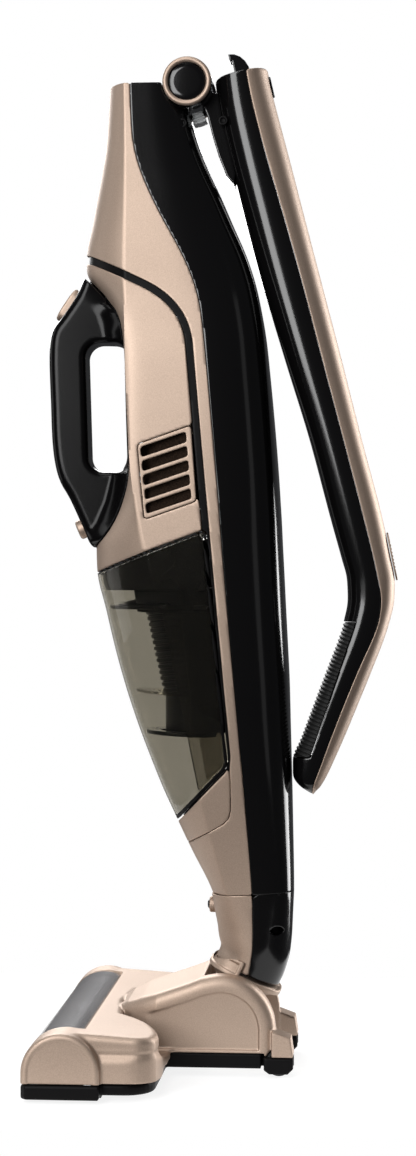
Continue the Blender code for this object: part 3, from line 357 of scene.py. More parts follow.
# ---- outline of the stick, hand vacuum and cup --------------------------------------------------------
STICK_BOTTOM, STICK_TOP, NECK_TOP = 113.65, 643.0, 113.35
SEAM_RISE = 0.045                   # rise of the seam between stick and neck per mm towards the back
SEAM_GAP = 0.12                     # half the gap between a painted shell and its black neighbour
HINGE = (-21.4, 643.0)              # the handle's fold axis (y, z)
FACE_ANGLE = math.radians(12.0)     # slope of the handle's end face
BODY = (                            # z, front y, back y, half width
    (113.5, -6.3, 47.2, 27.0), (121, -9.5, 47.2, 28.0), (135, -17.0, 47.0, 30.2),
    (150, -24.5, 46.7, 32.6), (165, -31.5, 46.4, 35.0), (180, -38.5, 46.1, 37.4),
    (200, -46.7, 45.6, 40.3), (225, -56.2, 44.9, 43.0), (250, -64.4, 44.3, 45.0),
    (275, -71.3, 43.1, 46.0), (300, -77.2, 41.8, 46.5), (325, -83.0, 40.6, 46.5),
    (344, -83.5, 39.6, 46.5), (356, -77.0, 39.1, 46.4), (370, -69.0, 38.2, 46.3),
    (385, -64.0, 37.3, 46.2), (400, -62.5, 36.2, 46.0), (430, -62.8, 33.7, 45.0),
    (460, -63.5, 30.8, 43.5), (475, -64.5, 29.3, 42.2), (487, -67.5, 27.5, 41.0),
    (497, -72.5, 25.6, 40.0), (506, -79.0, 23.9, 39.0), (514, -86.0, 22.0, 38.0),
    (522, -90.3, 19.6, 37.0), (534, -90.0, 15.4, 35.5), (553, -86.2, 6.9, 33.0),
    (570, -83.0, -0.2, 31.0), (586, -80.0, -7.9, 29.0), (605, -77.0, -15.5, 27.0),
    (625, -75.5, -21.2, 25.5), (643, -74.5, -24.5, 24.5),
)
CREASE = (                          # z, y of the crease between side and front facet
    (100, 8.5), (113, 5.0), (150, -5.0), (184, -14.0), (219, -21.0), (285, -35.0), (330, -45.0), (351, -50.0),
    (383, -55.6), (425, -58.5), (469, -60.2), (530, -61.5), (570, -61.5), (635, -62.5), (655, -63.0),
)
SPLIT = (                           # z, y of the seam between paint and black
    (48, 17.0), (66, 19.0), (80, 21.4), (113.5, 21.2), (126, 20.6), (150, 18.9), (178, 16.7), (229, 12.5),
    (280, 8.0), (332, 3.5), (383, -0.5), (434, -5.0), (487, -10.4), (500, -12.6), (513, -16.4),
    (526, -21.9), (539, -28.6), (552, -36.0), (565, -42.6), (578, -48.6),
    (591, -53.4), (604, -56.4), (617, -57.7), (650, -59.0),
)
GRIP_SEAM = (                       # side view (y, z) of where the grip meets the painted body
    (-98.0, 524.0), (-86.2, 514.2), (-77.8, 506.0), (-72.8, 499.6), (-67.6, 492.6), (-63.8, 481.0),
    (-61.4, 461.0), (-58.2, 409.0), (-58.2, 387.0), (-62.7, 370.5), (-69.2, 356.3), (-79.0, 344.2),
    (-96.0, 331.5),
)
LOUVRE = ((-51.8, 406.1), (-16.8, 418.3), (-13.2, 369.1), (-47.3, 357.2))
DOCK_LEAN, DOCK_FOOT = 0.0914, (6.3, 205.0)
CUP_SLOPE, CUP_POINT = 0.3695, (-77.5, 325.4)
SEAM_TURN = ((7.4, 197.5), (8.0, 185.0), (7.9, 170.0), (6.5, 164.6), (2.9, 160.8), (-48.0, 131.4))

body_front, body_back = curve(BODY, 1, 3.5), curve(BODY, 2, 6.0)
body_half = curve(BODY, 3, 6.0)
crease_y = curve(CREASE, 1, 9.0)
split_y = curve(SPLIT, 1, 5.0)
BODY_POWER, SIDE_POWER = 3.2, 13.0  # section's superellipse power behind and before its middle
FACET = 0.15                        # how far the front facet bulges sideways


def dock_y(z):
    return DOCK_FOOT[0] - DOCK_LEAN * (z - DOCK_FOOT[1])


def cup_z(y):
    return CUP_POINT[1] + CUP_SLOPE * (y - CUP_POINT[0])


def dock_path():
    """Seam round the back of the docked hand vacuum and cup, from the top front down."""
    bend = (dock_y(470.0), 470.0)
    path = [(-99.0, 535.4), (-74.0, 523.2), (-48.5, 510.8)]
    path += bezier(path[-1], (-20.4, 497.1), bend, 16)
    path += [(dock_y(330.0), 330.0), DOCK_FOOT]
    path += bezier(DOCK_FOOT, (7.4, 197.5), (1.5, 192.6), 6)
    path += [(-29.5, 160.5), (-50.0, 139.0)]
    return path


DOCK_BEND, DOCK_END = 18, 20     # places in that path: end of the upper bend, foot of the straight seam


def dock_corner(shift, raised):
    """Where the dock's straight seam meets the cup's upper edge, both moved."""
    z = 350.0
    for _ in range(20):
        z = cup_z(dock_y(z) + shift) + raised
    return (dock_y(z) + shift, z)


def boxy(a):
    """Unit section that is flatter at the sides towards the front than towards the back."""
    c, s = np.cos(a), np.sin(a)
    power = np.where(s < 0, SIDE_POWER, BODY_POWER)
    reach = (np.abs(c) ** power + np.abs(s) ** power) ** (-1 / power)
    return c * reach, s * reach


def body_rows(low, high, step, back_count, front_count):
    """Loops round the body: a rounded back and sides, and a front facet that meets them in a crease."""
    dense = np.linspace(-math.pi / 2, 1.5 * math.pi, 6001)
    quarter = 1501                  # so many of them run from the front to the side
    ex, ey = boxy(dense)
    length = np.concatenate([[0], np.cumsum(np.hypot(np.diff(ex * 0.9), np.diff(ey)))])
    m = np.linspace(-1, 1, front_count + 2)[1:-1]
    rows = []
    for z in np.arange(low, high + step, step):
        front, back, half, edge = body_front(z), body_back(z), body_half(z), crease_y(z)
        middle, depth = (front + back) / 2, (back - front) / 2
        start = np.interp((edge - middle) / depth, ey[:quarter], dense[:quarter])
        span = np.interp([start, math.pi - start], dense, length)
        a = np.interp(np.linspace(*span, back_count), length, dense)
        bx, by = boxy(a)
        x = np.concatenate([half * bx, half * bx[0] * m * (1 + FACET * (1 - m * m))])
        y = np.concatenate([middle + depth * by, edge - (edge - front) * (1 - m * m)])
        rows.append(np.stack([x, y, np.full(len(x), z)], -1))
    return np.array(rows)


body_grid = surface_grid(body_rows(108, 650, 1.5, 130, 60))


def region_of(outline, *limits):
    """Function that is positive inside a side-view outline and inside every limit."""
    def value(x, y, z):
        return least(-polygon(outline, y, z), *[limit(x, y, z) for limit in limits])
    return value


def stick_ends(x, y, z):
    hinge = np.hypot(y - HINGE[0], z - HINGE[1]) - 16.6
    return least(STICK_TOP - z, z - STICK_BOTTOM - SEAM_RISE * y, hinge)


def dock_cover_outline():
    lower = dock_path()[DOCK_END + 1:]
    seam = [(y - 0.35, z + 0.2) for y, z in reversed(SEAM_TURN)]
    return [*offset(lower, 0.8), *seam]


def hand_outline(shift, bottom, grip_shift):
    """Side view of the docked hand vacuum without its grip."""
    right = offset(dock_path(), shift)[:DOCK_BEND + 1]
    left = list(reversed(offset(rail(GRIP_SEAM), grip_shift)))
    return [*right, dock_corner(shift, bottom), (-98.0, cup_z(-98.0) + bottom), *left]


def rail(points, per=6):
    """Catmull-Rom curve through points."""
    p = np.array([2 * np.array(points[0]) - points[1], *points, 2 * np.array(points[-1]) - points[-2]])
    path = [tuple(p[1])]
    for k in range(1, len(p) - 2):
        for s in np.linspace(0, 1, per + 1)[1:]:
            a, b, c, d = p[k - 1:k + 3]
            path.append(tuple(0.5 * (2 * b + (c - a) * s + (2 * a - 5 * b + 4 * c - d) * s * s
                                     + (3 * b - a - 3 * c + d) * s ** 3)))
    return path


def scaled(outline, factor):
    centre = np.mean(outline, axis=0)
    return [tuple(centre + (np.array(p) - centre) * factor) for p in outline]


def build_stick(gold, black):
    heights = np.arange(100, 656, 6.0)
    seam = np.stack([split_y(heights), heights], 1)
    front = [*offset(dock_path(), 1.8)[:DOCK_END + 1], *SEAM_TURN, (-70, 118.8), (-70, 100)]
    front += [(y - SEAM_GAP, z) for y, z in seam] + [(-120, 655), (-120, 546)]
    shell("gold_front", body_grid, region_of(front, stick_ends), gold, "stick", ["stick_front_shell"],
          roll=0.5)
    rear = [(y + SEAM_GAP, z) for y, z in seam] + [(90, 655), (90, 100)]
    shell("black_back", body_grid, region_of(rear, stick_ends), black, "stick", ["stick_rear_shell"],
          roll=0.2)
    shell("dock_cap", body_grid, region_of(dock_cover_outline()), gold, "stick", ["dock_cover"], roll=0.5)


def build_gasket(black):
    """Black strip at the bottom of the groove round the docked hand vacuum and cup."""
    path = [*dock_path()[:DOCK_END + 7], (-24.5, 165.7)]
    outer, cup_side, hand_side = offset(path, 2.1), offset(path, -0.15), offset(path, -2.9)
    outline = [*outer, *reversed(cup_side[DOCK_END - 1:])]
    outline += [dock_corner(-0.15, -0.5), dock_corner(-2.9, -0.5), *reversed(hand_side[:DOCK_BEND + 1])]
    points, normals, faces = body_grid
    shell("dock_gasket", (points - normals * 1.7, normals, faces), region_of(outline), black, "stick",
          wall=2.3, roll=0.15)


def build_hand(gold):
    outline = hand_outline(-3.0, 0.25, 0.15)
    hole = rounded(LOUVRE, 3.0)
    for side, name in ((1, "left"), (-1, "right")):
        def limit(x, y, z, side=side):
            vent = np.where(x * side > 15, polygon(hole, y, z), 50.0)
            return np.minimum(x * side - 0.08, vent)

        shell("hand_side_" + name, body_grid, region_of(outline, limit), gold, "hand_vac",
              ["hand_shell_" + name], roll=0.6)


def cup_outline(shift, top):
    """Side view of the dust cup, moved in from the dock and down from the hand vacuum."""
    lower = offset(dock_path(), shift)[DOCK_END:]
    return [(-100, cup_z(-100) + top), dock_corner(shift, top), *lower, (-100, 120)]


def build_cup(clear, black):
    """Clear cup with an opaque black rim where it lies in the dock."""
    cup_region = region_of(cup_outline(-2.6, -1.5))
    shell("clear_cup", body_grid, cup_region, clear, "dust_cup", ["dust_cup"], wall=1.6, roll=0.3)

    def rim(x, y, z):
        return np.minimum(-polygon(cup_outline(-0.4, -1.5), y, z), polygon(cup_outline(-2.8, 3.0), y, z))

    shell("cup_rim", body_grid, rim, black, "dust_cup", wall=2.6, roll=0.4)


def louvre_slot(k):
    """Outline of one exhaust slot, counted from the top."""
    shift, drop = 0.84 * k, 9.1 * k
    return [(-49.4 + shift, 404.2 - drop), (-20.4 + shift * 0.92, 413.8 - drop),
            (-19.8 + shift * 0.92, 407.2 - drop), (-48.8 + shift, 397.6 - drop)]


def build_louvres(gold):
    panel = rounded(scaled(LOUVRE, 0.985), 2.5)
    slots = [rounded(louvre_slot(k), 1.6) for k in range(5)]
    for side, name in ((1, "left"), (-1, "right")):
        def limit(x, y, z, side=side):
            value = least(np.full(np.shape(y), 50.0), *[polygon(slot, y, z) for slot in slots])
            return np.where(x * side > 15, value, -50.0)

        fine = surface_grid(body_rows(350, 426, 0.8, 260, 60))
        shell("vent_" + name, fine, region_of(panel, limit), gold, "hand_vac", ["louvre_panel_" + name],
              wall=2.0, roll=0.45)


# ---- neck -----------------------------------------------------------------------------------------
SWIVEL = (16.0, 60.0)               # middle (y, z) of the swivel joint under the neck
LEAN = math.radians(25.0)           # tilt of the swivel axis
NECK_BUTTON = (-3.4, 104.6)         # (y, z)
NECK = (                            # y, z, tilt in degrees, half depth, half width, power
    (16.2, 60.4, 25, 22.4, 22.4, 2.0), (20.0, 68.8, 25, 22.7, 22.7, 2.0),
    (21.2, 79.0, 14, 24.2, 23.8, 2.1), (21.6, 89.0, 6, 24.6, 24.4, 2.3),
    (21.0, 100.0, 2, 25.6, 25.4, 2.7), (20.3, 113.2, 0, 26.9, 27.0, 3.2), (20.0, 122.0, 0, 27.4, 27.6, 3.2),
)


def neck_grid():
    t = np.linspace(0, len(NECK) - 1, 90)
    kernel = np.ones(9) / 9
    columns = []
    for column in zip(*NECK):
        values = np.pad(np.interp(t, range(len(NECK)), column), 4, mode="reflect", reflect_type="odd")
        columns.append(np.convolve(values, kernel, "valid"))
    a = np.linspace(0, 2 * math.pi, 120, endpoint=False)
    rows = []
    for y, z, tilt, depth, width, power in zip(*columns):
        ex, ey = superellipse(a, power)
        lean = math.radians(tilt)
        rows.append(np.stack([width * ex, y + depth * ey * math.cos(lean),
                              z - depth * ey * math.sin(lean)], -1))
    return surface_grid(np.array(rows))


def swivel_place(y, z):
    """Distances across and along the swivel axis."""
    c, s = math.cos(LEAN), math.sin(LEAN)
    y, z = y - SWIVEL[0], z - SWIVEL[1]
    return y * c - z * s, y * s + z * c


def build_neck(gold, black):
    grid = neck_grid()

    def limits(y, z):
        return np.minimum(NECK_TOP + SEAM_RISE * y - z, swivel_place(y, z)[1] - 2.0)

    def front(x, y, z):
        bore = np.where(y < 10, np.hypot(x, z - NECK_BUTTON[1]) - 5.9, 50.0)
        return least(split_y(z) - SEAM_GAP - y, limits(y, z), bore)

    def rear(x, y, z):
        dimple = np.hypot((y - 37.2) / 1.35, z - 90.4) - 3.0
        return least(y - split_y(z) - SEAM_GAP, limits(y, z), dimple)

    shell("neck_gold", grid, front, gold, "neck", ["neck_front_cover"], roll=0.5)
    shell("neck_black", grid, rear, black, "neck", ["neck_rear_cover"], roll=0.5)


# ---- handle ---------------------------------------------------------------------------------------
HANDLE = (                          # z, inner y, seam y, outer y, half width
    (178.5, 58.0, 59.0, 61.5, 14.0), (183, 51.5, 59.8, 65.0, 16.0), (190, 46.5, 62.6, 69.0, 16.8),
    (202, 46.5, 67.0, 74.5, 17.2), (213, 51.0, 71.0, 79.4, 17.3), (240, 61.1, 81.5, 90.6, 17.3),
    (266, 70.9, 92.5, 101.1, 17.3), (280, 76.3, 99.0, 106.5, 17.4), (293, 80.3, 103.5, 110.5, 17.5),
    (306, 82.6, 104.8, 113.3, 17.6), (319, 82.1, 102.6, 113.5, 17.8), (332, 78.8, 99.9, 111.0, 18.0),
    (358, 71.6, 93.5, 105.7, 18.3), (411, 57.5, 79.9, 91.9, 18.8), (463, 41.5, 66.2, 78.8, 19.4),
    (516, 25.7, 52.4, 65.0, 20.0), (556, 14.8, 41.3, 54.6, 20.8), (596, 4.5, 29.7, 44.3, 21.6),
    (622, -1.2, 22.7, 37.4, 22.3), (635, -3.2, 19.7, 34.0, 22.6), (650, -4.6, 16.9, 30.6, 22.8),
    (662, -5.0, 15.5, 29.0, 22.8),
)
handle_inner, handle_seam, handle_outer, handle_half = (curve(HANDLE, c, s) for c, s in
                                                        ((1, 2.0), (2, 4.0), (3, 3.5), (4, 5.0)))
HANDLE_POWER = 2.5


def face_point(along, above):
    """(y, z) from the fold axis, along the handle's end face and above it."""
    c, s = math.cos(FACE_ANGLE), math.sin(FACE_ANGLE)
    return (HINGE[0] + along * c - above * s, HINGE[1] + along * s + above * c)


def face_height(y, z):
    """Distance above the handle's end face."""
    return (z - HINGE[1]) * math.cos(FACE_ANGLE) - (y - HINGE[0]) * math.sin(FACE_ANGLE)


def handle_rows(z, tip):
    """Loops round the handle at the given heights, drawn in by tip towards its end."""
    ex, ey = superellipse(even_angles(HANDLE_POWER, 128), HANDLE_POWER)
    inner, outer = handle_inner(z), handle_outer(z)
    x = (handle_half(z) * tip)[:, None] * ex[None]
    y = ((inner + outer) / 2)[:, None] + ((outer - inner) / 2 * np.minimum(1, tip + 0.1))[:, None] * ey[None]
    return np.stack([x, y, np.broadcast_to(z[:, None], x.shape)], -1)


def grip_surface():
    """The handle's surface under the soft insert, with ribs across it."""
    heights = np.concatenate([np.arange(196, 200, 0.45), np.arange(200, 298, 0.45)])
    points, normals, faces = surface_grid(handle_rows(heights, 1.0))
    along = points[:, 1] * 0.323 + points[:, 2] * 0.946
    ribs = 0.5 * np.cos(2 * math.pi * along / 2.7) - 0.5
    return points + normals * ribs[:, None], normals, faces


def build_handle(black, gold, rubber):
    z = np.concatenate([np.arange(178.0, 200, 0.6), np.arange(200, 668, 1.6)])
    tip = np.sqrt(np.clip(1 - ((186 - np.minimum(z, 186)) / 8.2) ** 2, 0.01, 1))
    grid = surface_grid(handle_rows(z, tip), cap_low=True)
    insert = rounded([(88.35, 291.6), (58.7, 202.5), (25.0, 202.5), (60.0, 291.6)], 2.0)
    window = rounded([(24.5, 634.3), (42.5, 638.4), (39.2, 652.6), (21.2, 648.5)], 1.5)

    def cover(x, y, z):
        return least(handle_seam(z) - SEAM_GAP - y, -face_height(y, z) - 0.3, polygon(insert, y, z))

    def spine(x, y, z):
        hole = both(polygon(window, y, z), np.abs(x) - 6.2)
        return least(y - handle_seam(z) - SEAM_GAP, -face_height(y, z) - 0.3, hole)

    shell("handle_black", grid, cover, black, "handle", ["handle_cover"], roll=0.4)
    shell("handle_gold", grid, spine, gold, "handle", ["handle_spine"], roll=0.5)
    grip = [(87.9, 291.0), (58.4, 203.1), (25.0, 203.1), (60.0, 291.0)]
    shell("grip_ribs", grip_surface(), region_of(rounded(grip, 2.0)), rubber, "handle", ["grip_insert"],
          wall=2.0, roll=0.3)


# ---- pieces drawn as solids -----------------------------------------------------------------------
def solid_piece(name, solid, low, high, cell, mat, body, nodes=()):
    """Piece drawn by a signed distance, sampled between two corners of a box."""
    points, faces = skin(solid, np.array(low, dtype=float), np.array(high, dtype=float), cell)
    return add_piece(name, points, faces, mat, body, nodes)


def spin(name, profile, centre, axis, mat, body, nodes=(), segments=72, soften=0.4, sharp=35):
    """Solid of revolution from a closed outline of (distance along the axis, radius)."""
    axis = unit(np.array(axis, dtype=float))
    side = unit(np.cross(axis, (0.0, 0.0, 1.0) if abs(axis[2]) < 0.9 else (0.0, 1.0, 0.0)))
    other = np.cross(axis, side)
    if soften:
        profile = rounded(profile, soften, 3, fixed=0)
    points, rings = [], []
    for along, radius in profile:
        middle = np.array(centre) + axis * along
        if radius < 0.05:
            rings.append([len(points)] * segments)
            points.append(middle)
            continue
        rings.append(list(range(len(points), len(points) + segments)))
        for k in range(segments):
            a = 2 * math.pi * k / segments
            points.append(middle + radius * (side * math.cos(a) + other * math.sin(a)))
    faces = []
    for first, second in zip(rings, rings[1:] + rings[:1]):
        for k in range(segments):
            n = (k + 1) % segments
            ring = list(dict.fromkeys((first[k], first[n], second[n], second[k])))
            if len(ring) > 2:
                faces.append(ring)
    return add_piece(name, points, faces, mat, body, nodes, sharp=sharp)


# ---- floor head -----------------------------------------------------------------------------------
ROLLER = (-90.5, 17.6)              # middle (y, z) of the rounded front of the head
BRUSH = (-90.5, 18.6)               # axis (y, z) of the brush roll
WHEEL = (36.0, 39.0, 8.5)           # middle of the left rear wheel
FOOT = ((34.4, 8.0), (34.4, 29.4), (36.5, 29.0), (46.9, 25.2), (48.4, 15.0), (48.4, 8.0))


def head_outside(x, y, z):
    """Outside of the painted head cover, without its bottom."""
    ax = np.abs(x)
    radius = np.hypot(y - ROLLER[0], np.maximum(z - ROLLER[1], 0.0))
    tube = both(radius - 24.5, ax - 125.0, 3.2)
    tube = without(tube, both(radius - 20.2, 124.5 - ax, 0.4), 0.5)
    plan = [(-5, -92), (118.6, -92), *arc((104.6, -46.0), 14.0, 0, 62, 6),
            *bezier((106, -31.5), (64, -35), (43, -61), 10), (-5, -66)]
    ledge = 0.9 / (1 + np.exp(np.clip((z - 30.0) / 0.35, -30, 30)))
    deck = both(polygon(plan, ax, y) + ledge, z - 42.1 + 0.066 * (y - ROLLER[0]), 4.5)
    floor_plan = [(-5, -92), (117.7, -92), *arc((98.7, -52.0), 19.0, 0, 90, 8), (60, -31), (-5, -29)]
    slope = both(polygon(floor_plan, ax, y), z - 15.5 - 0.12 * np.clip(ax - 50, 0, 60), 3.0)
    deck = either(deck, slope, 11.0)
    cover = either(tube, deck, 1.6)
    side = [(-64.0, 6.0), (-64.0, 41.5), (-60.0, 44.5), (-50.0, 48.6), (-36.0, 53.0), (-21.5, 58.0),
            (-12.0, 61.6), *arc((2.0, 29.2), 34.6, 100, 0, 16), (36.6, 6.0)]
    width = 24.5 + 15.5 * np.sqrt(np.clip((y + 64.0) / 24.0, 0.0, 1.0))
    profile = polygon(side, y, z)
    hump = both(profile, ax - width, 8.0)
    hump = without(hump, both(profile + 10.5, 38.3 - ax, 1.0), 1.0)
    cover = either(cover, hump, 3.5)
    foot = both(polygon(FOOT, y, z), slab(ax, 27.0, 44.0), 1.2)
    return either(cover, foot, 1.2)


def window_sector(y, z, start, end):
    """Side view of the slice of the rounded front between two angles."""
    return polygon(arc(ROLLER, 30.0, start, end, 8) + arc(ROLLER, 15.0, end, start, 4), y, z)


def head_cover(x, y, z):
    ax = np.abs(x)
    neck_slot = both(ax - 26.5, np.interp(z, [20.0, 40.0, 62.0], [-14.0, -13.0, -9.4]) - y, 2.0)
    outside = without(head_outside(x, y, z), neck_slot, 0.8)
    ring = both(np.abs(np.hypot(y - ROLLER[0], z - ROLLER[1]) - 23.3) - 1.2, ax - 122.0)
    ring = np.maximum(np.maximum(ring, 6.0 - z), y + 66.5)
    cover = either(np.maximum(outside, -(outside + 2.4)), ring)
    cover = without(cover, both(window_sector(y, z, 61.5, 160.5), ax - 101.5), 0.5)
    well = both(np.hypot(y - WHEEL[1], z - WHEEL[2]) - 9.3, np.abs(ax - WHEEL[0]) - 4.3)
    cover = without(cover, well)
    bottom = np.where((ax < 44.5) & (y > -31), np.where(y > 29.7, 12.9, 14.5), 11.5)
    return np.maximum(cover, bottom - z)


def window_band(x, y, z):
    """Curved clear window over the brush roll."""
    radius = np.hypot(y - ROLLER[0], z - ROLLER[1])
    sector = window_sector(y, z, 62.6, 159.4)
    return both(both(np.abs(radius - 23.2) - 1.0, sector, 0.6), np.abs(x) - 100.8, 0.8)


def head_base(x, y, z):
    ax = np.abs(x)
    front = [(-5, -115.0), (122.0, -115.0), (125.0, -112.0), (125.0, -66.5), (-5, -66.5)]
    plan = [(-5, -113.0), (118.0, -113.0), *arc((99.0, -52.5), 18.5, 0, 90, 8), (70, -33.5), (-5, -33)]
    base = either(both(polygon(front, ax, y), slab(z, 1.7, 10.9), 2.2),
                  both(polygon(plan, ax, y), slab(z, 3.4, 10.9), 3.0), 0.8)
    middle = both(polygon([(-5, -40), (40.5, -40), (40.5, 36.2), (-5, 36.2)], ax, y), slab(z, 5.0, 14.1), 0.8)
    foot = [(29.5, 12.4), (48.4, 12.4), (48.4, 5.5), (44.8, 2.0), (33.0, 2.0), (29.5, 4.5)]
    base = either(either(base, middle, 1.0), both(polygon(foot, y, z), slab(ax, 27.0, 44.0), 1.5), 0.8)
    mouth = polygon([(-5, -109.2), (121.5, -109.2), (121.5, -72.0), (-5, -72.0)], ax, y)
    neck_slot = polygon([(-5, -12.0), (26.5, -12.0), (26.5, 60.0), (-5, 60.0)], ax, y)
    well = both(polygon([(27.6, -5.0), (27.6, 30.0), (60.0, 30.0), (60.0, -5.0)], y, z), slab(ax, 31.7, 40.3))
    return without(np.maximum(base, -mouth), np.minimum(neck_slot, well), 0.3)


def yoke(x, y, z):
    """Fork on the tilt barrel, and the collar in which the neck swivels."""
    across, along = swivel_place(y, z)
    ax = np.abs(x)
    radius = (ax ** 3 + np.abs(across) ** 3) ** (1 / 3)
    ring = both(np.abs(radius - 24.4) - 1.0, slab(along, -3.0, 9.2), 0.7)
    ring = without(ring, both(-4.0 - across, 0.4 - along), 0.6)
    recess = both(slab(along, 0.2, 6.8), across + 6.6)
    ring = without(ring, both(24.5 - radius, recess), 0.5)
    cone = np.hypot(x, across) - np.clip(25.0 + (along + 3) * 1.5, 13.0, 25.0)
    cup = both(cone, slab(along, -10.0, 0.0), 1.0)
    arm_view = [(-11.0, 33.0), (-10.0, 20.0), (2.0, 14.5), (15.0, 22.0), (23.0, 50.0), (-4.0, 60.0)]
    arm = both(polygon(arm_view, y, z), ax - 15.0, 2.0)
    barrel = both(np.hypot(y - 2.0, z - 27.0) - 13.5, ax - 24.0, 1.0)
    return either(either(ring, cup, 0.8), either(arm, barrel, 3.0), 3.0)


def build_head(gold, smoke, black):
    solid_piece("head_shell", head_cover, (-127, -117, 4), (127, 51, 66), 0.85, gold, "floor_head",
                ["head_cover"])
    solid_piece("head_window", window_band, (-103, -117, 22), (103, -76, 44), 0.6, smoke, "floor_head",
                ["brush_window"])
    solid_piece("head_bottom", head_base, (-127, -117, 0.5), (127, 51, 16), 0.8, black, "floor_head",
                ["head_base"])
    solid_piece("neck_yoke", yoke, (-27, -16, 11), (27, 45, 72), 0.6, gold, "tilt_yoke", ["tilt_yoke"])


def build_brush(black, bristle):
    """Brush roll with two strips of tufts, each in a V that turns by 110 degrees."""
    profile = [(-119.2, 0), (-119.2, 4), (-113.6, 4), (-113.6, 10), (113.6, 10), (113.6, 4), (119.2, 4),
               (119.2, 0)]
    spin("brush_body", profile, (0, *BRUSH), (1, 0, 0), black, "brush_roll", ["brush_core"])
    rng = np.random.default_rng(5)
    steps = 260
    for index, name in enumerate(("tufts_a", "tufts_b")):
        rings = []
        for k in range(steps + 1):
            x = -99.5 + 199.0 * k / steps
            turn = math.pi * index + math.radians(110.0) * abs(2 * k / steps - 1)
            along = np.array([0, math.cos(turn), math.sin(turn)])
            across = np.array([0, -math.sin(turn), math.cos(turn)])
            middle = np.array([x, *BRUSH])
            tip = 17.5 - 0.9 * (k % 3 == 0) - 0.3 * rng.random()
            spread = 1.6 - 0.5 * (k % 3 == 0)
            rings.append([middle + along * 9.6 - across, middle + along * 9.6 + across,
                          middle + along * (tip - 2) + across * spread, middle + along * tip + across * 0.5,
                          middle + along * tip - across * 0.5, middle + along * (tip - 2) - across * spread])
        loft(name, rings, bristle, "brush_roll", ["bristle_strip_" + "ab"[index]])


def loft(name, rings, mat, body, nodes=(), sharp=30):
    """Closed mesh through rings that have the same number of points."""
    count = len(rings[0])
    faces = [list(range(count)), list(range((len(rings) - 1) * count, len(rings) * count))]
    for k in range(len(rings) - 1):
        for n in range(count):
            m = (n + 1) % count
            faces.append((k * count + n, k * count + m, (k + 1) * count + m, (k + 1) * count + n))
    return add_piece(name, [p for ring in rings for p in ring], faces, mat, body, nodes, sharp=sharp)


def build_wheels(rubber):
    for name, side in (("left", 1), ("right", -1)):
        profile = [(-3.6, 1.9), (-3.6, 5.4), (-2.8, 6.2), (-3.4, 7.0), (-2.6, 8.5), (2.6, 8.5), (3.4, 7.0),
                   (2.8, 6.2), (3.6, 5.4), (3.6, 1.9)]
        spin("wheel_" + name, profile, (WHEEL[0] * side, *WHEEL[1:]), (1, 0, 0), rubber, "rear_wheel_" + name,
             ["rear_wheel_" + name], soften=0.5)


# ---- grip and its buttons ---------------------------------------------------------------------------
GRIP_EDGE = (                       # side view (y, z) of the grip's front
    (-90.3, 519.2), (-95.9, 506.5), (-105.2, 492.7), (-111.2, 484.5), (-113.6, 475.5),
    (-114.0, 460.0), (-113.1, 436.0), (-112.2, 411.7), (-110.2, 395.0), (-106.6, 383.0),
    (-100.2, 371.8), (-92.0, 353.9), (-87.4, 343.4), (-84.9, 340.4),
)


def body_x(y, z):
    """Half width of the body at a side-view point."""
    front, back, edge = body_front(z), body_back(z), crease_y(z)
    middle, depth = (front + back) / 2, (back - front) / 2
    power = np.where(y < middle, SIDE_POWER, BODY_POWER)
    share = np.clip(np.abs((np.maximum(y, edge) - middle) / depth), 0, 1) ** power
    side = body_half(z) * np.clip(1 - share, 0, 1) ** (1 / power)
    t = np.clip((edge - y) / (edge - front), 0, 1)
    return side * np.sqrt(1 - t) * (1 + FACET * t)


def grip_solid(x, y, z):
    """D-shaped grip that flares out to the body's width, with wells for its buttons."""
    outline = [*rail(GRIP_EDGE, 3), (-60, 325), (-20, 325), (-20, 535), (-70, 535)]
    seam = [*rail(GRIP_SEAM, 4), (-140, 331), (-140, 526)]
    heights = [row[1] for row in reversed(GRIP_SEAM)]
    edge = np.interp(z, heights, [row[0] for row in reversed(GRIP_SEAM)])
    share = np.clip((y - edge + 15.0) / 15.0, 0, 1) ** 2
    wide = np.maximum(body_x(edge, z), 14.0)
    side = np.abs(x) - (15.0 + (wide - 15.0) * share)
    solid = both(polygon(outline, y, z), side * 0.8, 6.5)
    across = np.abs(y + 74.6 + 0.03 * (z - 432.2)) - 4.0
    hole = np.hypot(np.maximum(across, 0), np.maximum(np.abs(z - 432.2) - 32.5, 0)) - 10.0
    solid = without(solid, hole, 4.0)
    solid = both(solid, polygon(seam, y, z) + 0.2, 0.4)
    core = both(np.maximum(np.abs(x) - body_x(y, z) + 2.8, polygon(outline, y, z)), polygon(seam, y, z) - 6.0)
    solid = np.minimum(solid, without(core, hole))
    for centre, axis, long_half, half in BUTTONS.values():
        across, along = button_place(y, z, centre, axis)
        well = np.hypot(np.maximum(np.abs(across) - long_half + half, 0), x) - half - 0.5
        solid = without(solid, both(well, -4.5 - along), 0.6)
    return solid


# middle (y, z), outward direction, half length and half width of each button
BUTTONS = {"power_button": ((-100.6, 499.6), (-0.83, 0.558), 12.0, 6.0),
           "cup_release_button": ((-91.6, 353.2), (-0.92, -0.392), 6.4, 6.4)}


def button_place(y, z, centre, axis):
    """Distances across and along a button's direction."""
    along = (y - centre[0]) * axis[0] + (z - centre[1]) * axis[1]
    across = -(y - centre[0]) * axis[1] + (z - centre[1]) * axis[0]
    return across, along


